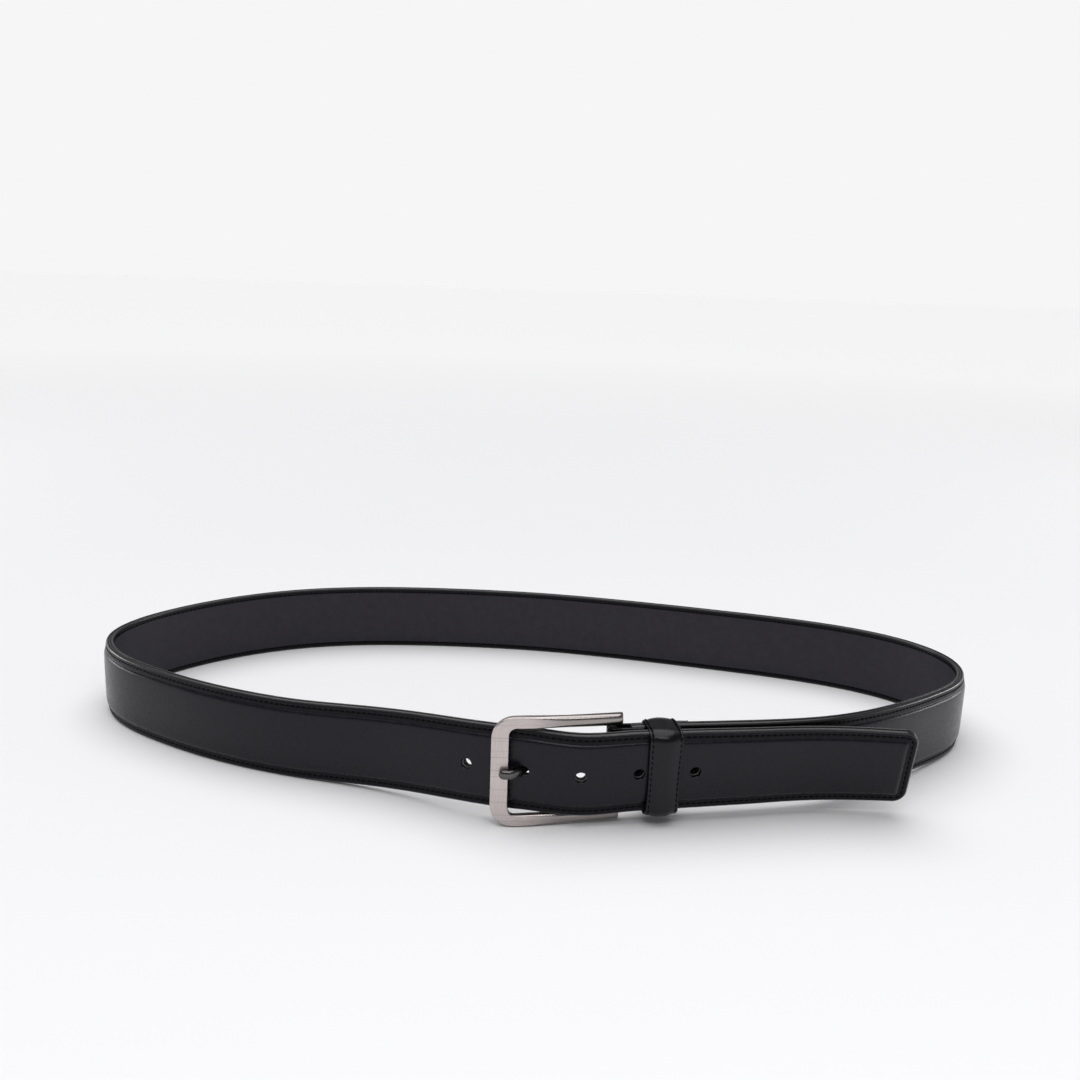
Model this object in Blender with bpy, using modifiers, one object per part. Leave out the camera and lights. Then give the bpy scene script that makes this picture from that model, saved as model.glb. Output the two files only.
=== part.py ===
"""A buckled leather belt standing on its edge, as a Blender model. Metres, +Z up.

The origin is on the floor under the middle of the loop. The buckle faces -Y, and the strap's free end
points to +X. Every strap piece is first made flat, with X along the strap, Y from its outer face to its
inner face and Z up from its middle line, and is then bent along the strap's route.
"""

import math

import bmesh
import bpy
import numpy as np
from mathutils import Matrix, Vector

MM = 0.001
GAP = 0.3 * MM  # left between faces that touch

# Strap
STRAP_WIDTH = 38 * MM
HALF_WIDTH = STRAP_WIDTH / 2
MARGIN_FACE = -2.0 * MM  # outer face beside the seams, from the middle of the thickness
CROWN_FACE = -3.0 * MM  # outer face over the padding
INNER_FACE = 2.0 * MM
FACE_LEATHER = 1.3 * MM
PADDING_HALF_WIDTH = 13.5 * MM
PADDING = (-1.4 * MM, -0.7 * MM)
CORE = (-0.4 * MM, 0.5 * MM)
LINING = (0.8 * MM, INNER_FACE)
SEAM_INSET = 2.5 * MM  # seam line to the strap's edge
THREAD = 0.5 * MM
RAISED_Z = 25.5 * MM  # middle line's height where the buckle lifts the strap
WINDOW_SAG = 1.1 * MM  # how far the strap drops between the front bar and the keeper
RESTING_Z = HALF_WIDTH  # middle line's height where the strap stands on the floor

# Holes and tip
HOLE_PITCH = 25 * MM
HOLE_RADIUS = 2.3 * MM
TIP_TO_HOLE = 99.9 * MM
HOLES = 5
PRONG_HOLE = 3  # counted from the tip, starting at 0
TIP_RADIUS = 6 * MM
TIP_SLANT = 1 * MM  # how much further the upper corner reaches
TIP_BORDER = 6.4 * MM  # flat leather between the padding and the tip

# Buckle
PIVOT = Vector((35.6 * MM, -107.3 * MM, RAISED_Z))
BAR_RADIUS = 1.5 * MM
BORE_RADIUS = BAR_RADIUS + GAP
FRAME_HALF_HEIGHT = 25.1 * MM
FRAME_END_HALF_HEIGHT = 24.2 * MM
WINDOW_HALF_HEIGHT = 20.3 * MM
FRAME_LEFT = -16.7 * MM
FRONT_BAR_RIGHT = -9.1 * MM
ARM_END = PIVOT.x + 3.6 * MM
FRONT_BAR_Y = (-118.9 * MM, -116.1 * MM)
ARM_END_Y = (-109.9 * MM, -104.6 * MM)
PRONG_RADIUS = 1.6 * MM
EYE_RADIUS = 3.0 * MM
EYE_HALF_HEIGHT = 2.4 * MM
PRONG_SLOT_HALF_HEIGHT = 3.2 * MM

# Buckle end of the strap, with distances along it from the pivot
RUN_ANGLE = math.radians(10)  # the doubled strap's direction, away from +X
STACK_SPACING = 7.0 * MM  # middle of the buckle end to middle of the free end
STRAP_START = 8 * MM
FOLD_OVERLAP = 12 * MM
FOLD_END = 34 * MM
FOLD_HALF_HEIGHT = 18 * MM
STRAIGHT_END = 60 * MM
FLEX_LINE = 57 * MM  # where the free end bends away
TWIST_RATE = math.radians(80)  # how fast the strap's lean grows, per metre towards the tip
LEAN_LEAD = 44 * MM  # how far before the pivot the free end starts to lean
TIP_LEAN = math.radians(14)

# Keeper
KEEPER_CENTRE = 20.8 * MM
KEEPER_HALF_WIDTH = 7.2 * MM
KEEPER_INNER = (-11.3 * MM, 5.4 * MM)  # inside of the loop, across the strap's thickness
KEEPER_HALF_HEIGHT = 19.9 * MM
KEEPER_LINING = 0.6 * MM
KEEPER_LEATHER = 1.0 * MM
KEEPER_CORNER = 3.2 * MM
KEEPER_BUTT = 0.5 * MM

# The loop of the strap seen from above, from the buckle end round the back to the free end.
RIGHT_AND_BACK = [
    (132, -87), (167, -66.5), (198, -40), (221, -12), (226.5, 15), (216, 42), (192, 64),
    (160, 79.5), (110, 95), (55, 109), (0, 119), (-55, 121.8), (-105, 118.5), (-146, 107.5),
]  # fmt: skip
LEFT_AND_FRONT = [
    (-181, 87), (-208, 60), (-224.5, 31), (-227, 9), (-215, -17), (-188, -40), (-152, -60.5),
    (-112, -75.5), (-76, -85.5), (-50, -95.5), (-25, -106.6), (-8.5, -112), (8, -115), (22, -115.8),
]  # fmt: skip
FREE_END = [(119, -99.4), (143, -97.3), (170.4, -97.9)]
CENTRING = Vector((0.3 * MM, -1.2 * MM, 0))  # from the plan's own origin to the middle of the belt

FLATNESS = 0.42 * MM  # how far a flat between two creases may stand off the curve
LONGEST_FLAT = 20 * MM
TWIST_STEP = 7 * MM


def run_direction():
    return Vector((math.cos(RUN_ANGLE), math.sin(RUN_ANGLE), 0))


def run_outward():
    return Vector((math.sin(RUN_ANGLE), -math.cos(RUN_ANGLE), 0))


def run_point(along, outward=0.0):
    """A point on the doubled strap: along it from the pivot, and outward from the buckle end's middle."""
    return PIVOT + along * run_direction() + outward * run_outward()


# ---------------------------------------------------------------- the strap's route


def cubic_spline(knots, start_tangent, end_tangent, step):
    """Points every `step` along a curvature-continuous curve through the knots, clamped at its ends.
    An end tangent of None leaves that end free."""
    knots = np.array(knots, float)
    span = np.linalg.norm(np.diff(knots, axis=0), axis=1)
    n = len(knots)
    a, b = np.zeros((n, n)), np.zeros((n, 2))
    slope = np.diff(knots, axis=0) / span[:, None]
    for i in range(1, n - 1):
        a[i, i - 1], a[i, i], a[i, i + 1] = span[i], 2 * (span[i - 1] + span[i]), span[i - 1]
        b[i] = 3 * (span[i] * slope[i - 1] + span[i - 1] * slope[i])
    for row, side, tangent in ((0, 1, start_tangent), (n - 1, n - 2, end_tangent)):
        a[row, row] = 1 if tangent is not None else 2
        a[row, side] = 0 if tangent is not None else 1
        b[row] = tangent if tangent is not None else 3 * slope[min(row, side)]
    speed = np.linalg.solve(a, b)
    points = []
    for i in range(n - 1):
        count = max(2, round(span[i] / step))
        t = np.arange(count)[:, None] / count
        points.append(
            (1 + 2 * t) * (1 - t) ** 2 * knots[i]
            + t * (1 - t) ** 2 * span[i] * speed[i]
            + t**2 * (3 - 2 * t) * knots[i + 1]
            - t**2 * (1 - t) * span[i] * speed[i + 1]
        )
    return np.vstack(points + [knots[-1:]])


def smooth_step(value, start, end):
    t = np.clip((value - start) / (end - start), 0, 1)
    return t * t * (3 - 2 * t)


class Route:
    """The strap's middle line in space, by distance from its start beside the pivot bar."""

    START = -5 * MM  # distance along the doubled strap where the route begins
    STEP = 1 * MM
    SETTLE = 190 * MM  # over which the buckle end comes down to the floor and stands upright

    def __init__(self):
        along = np.array(run_direction()[:2])
        buckle_end = [run_point(self.START)[:2], run_point(STRAIGHT_END)[:2]]
        over_pivot = run_point(0, STACK_SPACING)[:2]
        flex = run_point(STRAIGHT_END, STACK_SPACING)[:2]
        loop = [buckle_end[1]] + [Vector(p) * MM for p in RIGHT_AND_BACK + LEFT_AND_FRONT] + [over_pivot]
        tail = [flex] + [Vector(p) * MM for p in FREE_END]
        plan = [
            self.straight(*buckle_end),
            cubic_spline(loop, along, along, self.STEP),
            self.straight(over_pivot, flex),
            cubic_spline(tail, along, None, self.STEP),
        ]
        lengths = [np.linalg.norm(np.diff(p, axis=0), axis=1).sum() for p in plan]
        self.over_pivot = lengths[0] + lengths[1]
        self.length = sum(lengths)
        self.plan = np.vstack([plan[0]] + [p[1:] for p in plan[1:]])
        gaps = np.linalg.norm(np.diff(self.plan, axis=0), axis=1)
        self.at = np.concatenate([[0], np.cumsum(gaps)])
        self.tangent = np.gradient(self.plan, self.at, axis=0)
        self.tangent /= np.linalg.norm(self.tangent, axis=1)[:, None]
        self.heading = np.unwrap(np.arctan2(self.tangent[:, 1], self.tangent[:, 0]))

    def straight(self, start, end):
        start, end = np.array(start), np.array(end)
        count = round(np.linalg.norm(end - start) / self.STEP)
        return start + (end - start) * np.linspace(0, 1, count + 1)[:, None]

    def height(self, s):
        """Height of the middle line: the buckle holds the strap off the floor."""
        leaving = smooth_step(s, STRAIGHT_END, STRAIGHT_END + self.SETTLE)
        coming = smooth_step(s, self.over_pivot - 165 * MM, self.over_pivot - 30 * MM)
        free = s - self.over_pivot
        sag = smooth_step(free, -42 * MM, -15 * MM) - smooth_step(free, -15 * MM, 12 * MM)
        return RAISED_Z + (RESTING_Z - RAISED_Z) * (leaving - coming) - WINDOW_SAG * sag

    def lean(self, s):
        """How far the strap's top leans outward, in radians."""
        buckle_end = TWIST_RATE * np.clip(s + self.START, 0, STRAIGHT_END)
        settled = 1 - smooth_step(s, STRAIGHT_END, STRAIGHT_END + self.SETTLE)
        free = s - self.over_pivot
        before_flex = TWIST_RATE * np.clip(free + LEAN_LEAD, 0, STRAIGHT_END + LEAN_LEAD)
        tail = np.clip((free - STRAIGHT_END) / (self.length - self.over_pivot - STRAIGHT_END), 0, 1)
        tip_extra = TIP_LEAN - TWIST_RATE * (STRAIGHT_END + LEAN_LEAD)
        return buckle_end * settled + before_flex + tip_extra * tail

    def crease_spacing(self, s):
        """How far apart creases may be at s for the flats between them to stay near the true curve."""
        turn = np.interp([s - 6 * MM, s + 14 * MM], self.at, self.heading)
        radius = 20 * MM / max(abs(turn[1] - turn[0]), 1e-3)
        return min(math.sqrt(8 * radius * FLATNESS), LONGEST_FLAT)

    def place(self, flat):
        """Flat coordinates (along, inward, up) of the strap, as an n by 3 array, bent into space."""
        s, inward, up = np.asarray(flat, float).T
        base = np.stack([np.interp(s, self.at, self.plan[:, k]) for k in (0, 1)], axis=1)
        tangent = np.stack([np.interp(s, self.at, self.tangent[:, k]) for k in (0, 1)], axis=1)
        tangent /= np.linalg.norm(tangent, axis=1)[:, None]
        beyond = np.minimum(s, 0) + np.maximum(s - self.length, 0)
        base += beyond[:, None] * tangent
        normal = np.stack([-tangent[:, 1], tangent[:, 0]], axis=1)
        lean = self.lean(s)
        level = inward * np.cos(lean) - up * np.sin(lean)
        plan = base + level[:, None] * normal
        return np.column_stack([plan, self.height(s) + up * np.cos(lean) + inward * np.sin(lean)])


ROUTE = Route()
FREE_START = ROUTE.over_pivot  # distance along the route where the free end passes over the pivot
SPLIT = FREE_START + FLEX_LINE
TIP = ROUTE.length
RAISED_END = TIP - TIP_BORDER


# ---------------------------------------------------------------- making and joining meshes


def material(name, colour, roughness, metallic=0.0):
    made = bpy.data.materials.new(name)
    made.use_nodes = True
    shader = made.node_tree.nodes["Principled BSDF"]
    shader.inputs["Base Color"].default_value = (*colour, 1)
    shader.inputs["Roughness"].default_value = roughness
    shader.inputs["Metallic"].default_value = metallic
    return made


def new_object(name, mesh, finish=None, collection=None):
    obj = bpy.data.objects.new(name, mesh)
    (collection or PARTS).objects.link(obj)
    if finish:
        mesh.materials.clear()
        mesh.materials.append(finish)
    return obj


def from_bmesh(name, bm, finish=None, collection=None):
    mesh = bpy.data.meshes.new(name)
    bmesh.ops.recalc_face_normals(bm, faces=bm.faces)
    if bm.calc_volume(signed=True) < 0:
        bmesh.ops.reverse_faces(bm, faces=bm.faces)
    bm.to_mesh(mesh)
    bm.free()
    return new_object(name, mesh, finish, collection)


def rounded(corners, segments=5):
    """The points of a closed outline with rounded corners, each given as (x, y, radius)."""
    points = []
    for i, (x, y, radius) in enumerate(corners):
        corner = Vector((x, y))
        before = (Vector(corners[i - 1][:2]) - corner).normalized()
        after = (Vector(corners[(i + 1) % len(corners)][:2]) - corner).normalized()
        half = before.angle(after) / 2
        if radius == 0:
            points.append(corner)
            continue
        centre = corner + (before + after).normalized() * radius / math.sin(half)
        start = corner + before * radius / math.tan(half) - centre
        end = corner + after * radius / math.tan(half) - centre
        sweep = start.angle_signed(end)
        for k in range(segments + 1):
            points.append(centre + Matrix.Rotation(-sweep * k / segments, 2) @ start)
    return points


def plate(name, outline, low, high, placed, finish=None, collection=None):
    """A flat outline, or outlines for one with a hole, between two heights, then set in place by a matrix."""
    outlines = outline if isinstance(outline[0], list) else [outline]
    curve = bpy.data.curves.new(name, "CURVE")
    curve.dimensions = "2D"
    curve.fill_mode = "BOTH"
    curve.extrude = (high - low) / 2
    for points in outlines:
        spline = curve.splines.new("POLY")
        spline.points.add(len(points) - 1)
        spline.use_cyclic_u = True
        for point, place in zip(spline.points, points):
            point.co = (*place, 0, 1)
    middle = Matrix.Translation((0, 0, (low + high) / 2))
    return mesh_from_curve(name, curve, placed @ middle, finish, collection)


def mesh_from_curve(name, curve, placed, finish=None, collection=None):
    helper = bpy.data.objects.new(name + "_curve", curve)
    PARTS.objects.link(helper)
    graph = bpy.context.evaluated_depsgraph_get()
    mesh = bpy.data.meshes.new_from_object(helper.evaluated_get(graph))
    bpy.data.objects.remove(helper)
    bpy.data.curves.remove(curve)
    bm = bmesh.new()
    bm.from_mesh(mesh)
    bpy.data.meshes.remove(mesh)
    bmesh.ops.remove_doubles(bm, verts=bm.verts, dist=0.01 * MM)
    bm.transform(placed)
    return from_bmesh(name, bm, finish, collection)


def rod(name, centre, radius, low, high, finish=None, collection=None, sides=20):
    """An upright cylinder."""
    bm = bmesh.new()
    bmesh.ops.create_cone(
        bm, cap_ends=True, segments=sides, radius1=radius, radius2=radius, depth=high - low
    )
    bm.transform(Matrix.Translation((centre[0], centre[1], (low + high) / 2)))
    return from_bmesh(name, bm, finish, collection)


def box(name, low, high, collection=None):
    bm = bmesh.new()
    bmesh.ops.create_cube(bm, size=1)
    size = [b - a for a, b in zip(low, high)]
    middle = [(a + b) / 2 for a, b in zip(low, high)]
    bm.transform(Matrix.Translation(middle) @ Matrix.Diagonal((*size, 1)))
    return from_bmesh(name, bm, collection=collection)


def as_helper(obj):
    obj.hide_render = True
    obj.display_type = "WIRE"
    return obj


def boolean(obj, other, operation):
    """Applies a Boolean at once, and removes the other object."""
    modifier = obj.modifiers.new(operation.title(), "BOOLEAN")
    modifier.operation = operation
    modifier.object = other
    graph = bpy.context.evaluated_depsgraph_get()
    mesh = bpy.data.meshes.new_from_object(obj.evaluated_get(graph))
    obj.modifiers.clear()
    old, obj.data = obj.data, mesh
    bpy.data.meshes.remove(old)
    bpy.data.objects.remove(other)
    return obj


def stations(start, end):
    """Where a flat strap piece gets a crease to bend at: closer together where it turns or twists."""
    found, s = [], FOLD_OVERLAP - Route.START + MM
    while s < TIP:
        found.append(s)
        twisted = s < STRAIGHT_END or s > FREE_START - 70 * MM
        step = TWIST_STEP if twisted else ROUTE.crease_spacing(s)
        s += step
    return [s for s in found if start + 0.5 * MM < s < end - 0.5 * MM]


def bend(obj):
    """Creases a flat strap piece and bends it along the route."""
    bm = bmesh.new()
    bm.from_mesh(obj.data)
    along = [v.co.x for v in bm.verts]
    for s in stations(min(along), max(along)):
        geometry = bm.verts[:] + bm.edges[:] + bm.faces[:]
        bmesh.ops.bisect_plane(bm, geom=geometry, plane_co=(s, 0, 0), plane_no=(1, 0, 0), dist=1e-7)
    placed = ROUTE.place([v.co for v in bm.verts])
    for vertex, place in zip(bm.verts, placed):
        vertex.co = place
    bm.to_mesh(obj.data)
    bm.free()
    return obj


# ---------------------------------------------------------------- the strap's layers

ALONG_STRAP = Matrix(((0, 0, 1, 0), (1, 0, 0, 0), (0, 1, 0, 0), (0, 0, 0, 1)))  # outline (y, z), depth x
ON_FACE = Matrix(((1, 0, 0, 0), (0, 0, 1, 0), (0, 1, 0, 0), (0, 0, 0, 1)))  # outline (x, z), depth y


def box_profile(faces, half_width):
    return [(faces[0], -half_width), (faces[1], -half_width), (faces[1], half_width), (faces[0], half_width)]


def face_profile():
    """Section of the face leather: flat at the seams and raised over the padding."""
    under = MARGIN_FACE + FACE_LEATHER
    raised_under = CROWN_FACE + FACE_LEATHER
    shoulder = PADDING_HALF_WIDTH + GAP
    half = [
        (MARGIN_FACE, HALF_WIDTH),
        (MARGIN_FACE, shoulder + 0.9 * MM),
        (CROWN_FACE, shoulder - 0.6 * MM),
    ]
    half_under = [(raised_under, shoulder), (under, shoulder + 0.6 * MM), (under, HALF_WIDTH)]
    mirrored = [(y, -z) for y, z in reversed(half)]
    mirrored_under = [(y, -z) for y, z in reversed(half_under)]
    return half + mirrored + mirrored_under + half_under


def strip(name, profile, start, end, finish):
    return plate(name, [Vector(p) for p in profile], start, end, ALONG_STRAP, finish)


def tip_outline(start, inset):
    """The strap's free end seen from its face: square with rounded corners, the upper one further out."""
    upper, lower = TIP - inset, TIP - TIP_SLANT - inset
    half = HALF_WIDTH - inset
    radius = TIP_RADIUS - inset * 0.6
    return rounded([(start, -half, 0), (lower, -half, radius), (upper, half, radius), (start, half, 0)])


def trim_tip(obj):
    outline = tip_outline(SPLIT - 10 * MM, 0)
    cutter = plate("tip_shape", outline, -10 * MM, 10 * MM, ON_FACE, collection=CUTTERS)
    return boolean(obj, cutter, "INTERSECT")


def punch_holes(obj, main):
    """Punches the size holes that fall on this piece, apart from the one that the prong is in."""
    for k in range(HOLES):
        s = TIP - TIP_TO_HOLE - k * HOLE_PITCH
        if k == PRONG_HOLE or not main:
            continue
        cutter = rod("punch", (0, 0), HOLE_RADIUS, -10 * MM, 10 * MM, collection=CUTTERS, sides=14)
        cutter.data.transform(Matrix.Translation((s, 0, 0)) @ Matrix.Rotation(math.radians(90), 4, "X"))
        boolean(obj, cutter, "DIFFERENCE")
    return obj


def fold_outline():
    """Plan of the face leather turned round the bar: a thinned outer leg, the turn, and the inner leg."""
    outer, inner = 2.9 * MM, 1.85 * MM
    leg = INNER_FACE + GAP
    zero = -Route.START
    turn = [math.radians(a) for a in range(-90, -271, -15)]
    around = [(zero + outer * math.cos(a), outer * math.sin(a)) for a in turn]
    inside = [(zero + inner * math.cos(a), inner * math.sin(a)) for a in reversed(turn)]
    path = [(zero + FOLD_OVERLAP, -outer)] + around
    path += [(zero + STRAP_START - MM, leg + outer - inner), (zero + FOLD_END, leg + outer - inner)]
    path += [(zero + FOLD_END, leg), (zero + STRAP_START - MM, leg)] + inside
    path += [(zero + FOLD_OVERLAP, -inner)]
    return [Vector(p) for p in path]


def face_leather():
    start = STRAP_START - Route.START
    main = strip("face_leather", face_profile(), start, SPLIT - GAP / 2, LEATHER)
    fold = plate("fold", fold_outline(), -FOLD_HALF_HEIGHT, FOLD_HALF_HEIGHT, Matrix.Identity(4))
    boolean(main, fold, "UNION")
    slot_end = STRAP_START - Route.START - 0.6 * MM
    slot = box(
        "prong_slot",
        (-2 * MM, -6 * MM, -PRONG_SLOT_HALF_HEIGHT),
        (slot_end, 6 * MM, PRONG_SLOT_HALF_HEIGHT),
        CUTTERS,
    )
    boolean(main, slot, "DIFFERENCE")
    return finish_main(main)


def finish_main(obj):
    """Punches, bends and slots a layer of the main strap."""
    punch_holes(obj, True)
    bend(obj)
    return boolean(obj, prong_passage(), "DIFFERENCE")


def main_layer(name, faces, half_width, finish):
    start = STRAP_START - Route.START
    return finish_main(strip(name, box_profile(faces, half_width), start, SPLIT - GAP / 2, finish))


def free_end_layer(name, faces, finish):
    layer = strip(name, box_profile(faces, HALF_WIDTH), SPLIT + GAP / 2, TIP + 5 * MM, finish)
    return bend(trim_tip(layer))


def free_end_face_leather():
    """Raised up to RAISED_END, with a flat border beyond it for the seam across the tip."""
    start, faces = SPLIT + GAP / 2, (CROWN_FACE, MARGIN_FACE + FACE_LEATHER)
    leather = strip("free_end_face_leather", box_profile(faces, HALF_WIDTH), start, TIP + 5 * MM, LEATHER)
    trim_tip(leather)
    far, shoulder = 30 * MM, PADDING_HALF_WIDTH + 0.5 * MM
    around = [
        (start - far, far), (start - far, shoulder), (RAISED_END, shoulder),
        (RAISED_END, -shoulder), (start - far, -shoulder), (start - far, -far),
        (TIP + far, -far), (TIP + far, far),
    ]  # fmt: skip
    sides = plate("border", [Vector(p) for p in around], -far, MARGIN_FACE, ON_FACE, collection=CUTTERS)
    boolean(leather, sides, "DIFFERENCE")
    half = PADDING_HALF_WIDTH + GAP
    pocket = box(
        "pocket",
        (start - MM, CROWN_FACE + FACE_LEATHER, -half),
        (RAISED_END - MM / 2, 0, half),
        CUTTERS,
    )
    return bend(boolean(leather, pocket, "DIFFERENCE"))


def free_end_padding():
    profile = box_profile(PADDING, PADDING_HALF_WIDTH)
    return bend(strip("free_end_padding", profile, SPLIT + GAP / 2, RAISED_END - MM, PADDING_FINISH))


def seam_rows(name, face, start, end):
    """Two thread runs, one along each edge of the strap, on one of its faces."""
    outward = -1 if face < 0 else 1
    base, top = face + outward * GAP, face + outward * (GAP + THREAD)
    for edge, z in (("upper", HALF_WIDTH - SEAM_INSET), ("lower", SEAM_INSET - HALF_WIDTH)):
        section = [(base, z - THREAD / 2), (top, z), (base, z + THREAD / 2)]
        bend(strip(f"{name}_{edge}", section, start, end, THREAD_FINISH))


def tip_seam(name, face):
    """One thread run round the free end: along one edge, across the tip and back."""
    low, high = (face - GAP - THREAD, face - GAP) if face < 0 else (face + GAP, face + GAP + THREAD)
    start = SPLIT + GAP
    outer = tip_outline(start, SEAM_INSET - THREAD / 2)
    inner = tip_outline(start, SEAM_INSET + THREAD / 2)
    return bend(plate(name, outer + list(reversed(inner)), low, high, ON_FACE, THREAD_FINISH))


def fold_stitching():
    """The seams that close the fold on the strap's inner face: a frame of thread round the inner leg."""
    base = INNER_FACE + GAP + 1.05 * MM + GAP
    zero = -Route.START
    outline = [
        rounded([(zero + x0, -z, 0), (zero + x1, -z, 0), (zero + x1, z, 0), (zero + x0, z, 0)])
        for x0, x1, z in (
            (10 * MM, FOLD_END - 2 * MM, FOLD_HALF_HEIGHT - 2 * MM),
            (10 * MM + THREAD, FOLD_END - 2 * MM - THREAD, FOLD_HALF_HEIGHT - 2 * MM - THREAD),
        )
    ]
    return bend(plate("fold_stitching", outline, base, base + THREAD, ON_FACE, THREAD_FINISH))


# ---------------------------------------------------------------- buckle

PRONG_ROUTE = [  # middle line of the prong from the eye to the tip, seen from above
    (33.3, -107.5), (22, -108.6), (11, -109.7), (4.2, -110.1), (1.1, -110.7), (-0.9, -112.2),
    (-5.9, -119), (-7.9, -120.5), (-10.2, -120.8), (-13.1, -120.8),
]  # fmt: skip
CRANK = (5, 6)  # the stretch of PRONG_ROUTE that goes through the strap


def prong():
    curve = bpy.data.curves.new("prong", "CURVE")
    curve.dimensions = "3D"
    curve.bevel_depth = PRONG_RADIUS
    curve.bevel_resolution = 2
    curve.use_fill_caps = True
    points = cubic_spline(np.array(PRONG_ROUTE) * MM, (-1, 0), (-1, 0), 1.8 * MM)
    spline = curve.splines.new("POLY")
    spline.points.add(len(points) - 1)
    for point, place in zip(spline.points, points):
        point.co = (*place, PIVOT.z, 1)
    spline.points[-1].radius = 0.72
    blade = mesh_from_curve("prong", curve, Matrix.Identity(4), DARK_METAL)
    low, high = PIVOT.z - EYE_HALF_HEIGHT, PIVOT.z + EYE_HALF_HEIGHT
    boolean(blade, rod("eye", PIVOT, EYE_RADIUS, low, high, sides=28), "UNION")
    bore = rod("eye_bore", PIVOT, BORE_RADIUS, low - MM, high + MM, collection=CUTTERS, sides=24)
    return boolean(blade, bore, "DIFFERENCE")


def prong_passage():
    """The stretched hole that the prong is in: its slanting stretch, with room to swing a little."""
    inner_end, outer_end = (Vector(PRONG_ROUTE[k]) * MM for k in CRANK)
    direction = (outer_end - inner_end).normalized()
    across = Vector((-direction.y, direction.x))  # the way the prong moves as it lifts
    start, end = inner_end - direction * 8 * MM, outer_end + direction * 8 * MM
    near, far = PRONG_RADIUS + 0.8 * MM, PRONG_RADIUS + 2.2 * MM
    outline = [start - across * near, end - across * near, end + across * far, start + across * far]
    if (outline[1] - outline[0]).cross(outline[2] - outline[1]) < 0:
        outline.reverse()
    low, high = PIVOT.z - PRONG_RADIUS - 0.5 * MM, PIVOT.z + PRONG_RADIUS + 0.5 * MM
    return plate("passage", outline, low, high, Matrix.Identity(4), collection=CUTTERS)


def frame_depth(x):
    """Front and back faces of the buckle frame at x: the arms bow back and thicken towards the pivot."""
    t = min(max((x - FRONT_BAR_RIGHT) / (ARM_END - FRONT_BAR_RIGHT), 0), 1)
    front = FRONT_BAR_Y[0] + (ARM_END_Y[0] - FRONT_BAR_Y[0]) * t**1.4
    back = FRONT_BAR_Y[1] + (ARM_END_Y[1] - FRONT_BAR_Y[1]) * t**1.2
    return front, back


def buckle_frame():
    z = PIVOT.z
    outline = rounded([
        (ARM_END, z + FRAME_END_HALF_HEIGHT, 1.2 * MM),
        (ARM_END, z + WINDOW_HALF_HEIGHT, 0.8 * MM),
        (FRONT_BAR_RIGHT, z + WINDOW_HALF_HEIGHT, 4.5 * MM),
        (FRONT_BAR_RIGHT, z - WINDOW_HALF_HEIGHT, 4.5 * MM),
        (ARM_END, z - WINDOW_HALF_HEIGHT, 0.8 * MM),
        (ARM_END, z - FRAME_END_HALF_HEIGHT, 1.2 * MM),
        (FRAME_LEFT, z - FRAME_HALF_HEIGHT, 11 * MM),
        (FRAME_LEFT, z + FRAME_HALF_HEIGHT, 11 * MM),
    ])  # fmt: skip
    frame = plate("buckle_frame", outline, -MM, MM, ON_FACE, METAL)
    bm = bmesh.new()
    bm.from_mesh(frame.data)
    x = FRONT_BAR_RIGHT
    while x < ARM_END - 3 * MM:
        geometry = bm.verts[:] + bm.edges[:] + bm.faces[:]
        bmesh.ops.bisect_plane(bm, geom=geometry, plane_co=(x, 0, 0), plane_no=(1, 0, 0), dist=1e-7)
        x += 5.5 * MM
    for vertex in bm.verts:
        front, back = frame_depth(vertex.co.x)
        vertex.co.y = front if vertex.co.y < 0 else back
    bm.to_mesh(frame.data)
    bm.free()
    for side in (-1, 1):
        inner, depth = z + side * (WINDOW_HALF_HEIGHT - MM), z + side * (WINDOW_HALF_HEIGHT + 2.8 * MM)
        socket = rod("bar_socket", PIVOT, BORE_RADIUS, min(inner, depth), max(inner, depth), collection=CUTTERS)
        boolean(frame, socket, "DIFFERENCE")
    bevel = frame.modifiers.new("Rounded edges", "BEVEL")
    bevel.width = 0.7 * MM
    bevel.segments = 1
    bevel.limit_method = "ANGLE"
    bevel.angle_limit = math.radians(50)
    return frame


def pivot_bar():
    reach = WINDOW_HALF_HEIGHT + 2.4 * MM
    return rod("pivot_bar", PIVOT, BAR_RADIUS, PIVOT.z - reach, PIVOT.z + reach, METAL, sides=24)


# ---------------------------------------------------------------- keeper


def keeper_place():
    """The keeper's own axes: X along the strap, Y inward, Z up, leaning as the strap does there."""
    buckle_end, free_end = KEEPER_CENTRE - Route.START, KEEPER_CENTRE + FREE_START
    lean = float(ROUTE.lean(buckle_end) + ROUTE.lean(free_end)) / 2
    turned = Matrix.Rotation(RUN_ANGLE, 4, "Z") @ Matrix.Rotation(lean, 4, "X")
    return Matrix.Translation(run_point(KEEPER_CENTRE)) @ turned


def keeper_outline(grown):
    """The loop's section, `grown` outward from its clear inside."""
    y0, y1 = KEEPER_INNER[0] - grown, KEEPER_INNER[1] + grown
    z = KEEPER_HALF_HEIGHT + grown
    radius = KEEPER_CORNER + grown
    return rounded([(y0, -z, radius), (y1, -z, radius), (y1, z, radius), (y0, z, radius)], 4)


def keeper_band(name, inner, outer, low, high, finish, butt):
    """A band round the keeper. With butt set, its two ends meet behind the strap with a fine gap."""
    turn = keeper_place() @ ALONG_STRAP
    outlines = [keeper_outline(outer), keeper_outline(inner)]
    band = plate(name, outlines, low, high, Matrix.Identity(4), finish)
    if butt:
        y = KEEPER_INNER[1]
        gap = box("butt", (y - MM, -butt / 2, low - MM), (y + 6 * MM, butt / 2, high + MM), CUTTERS)
        boolean(band, gap, "DIFFERENCE")
    band.data.transform(turn)
    return band


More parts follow.
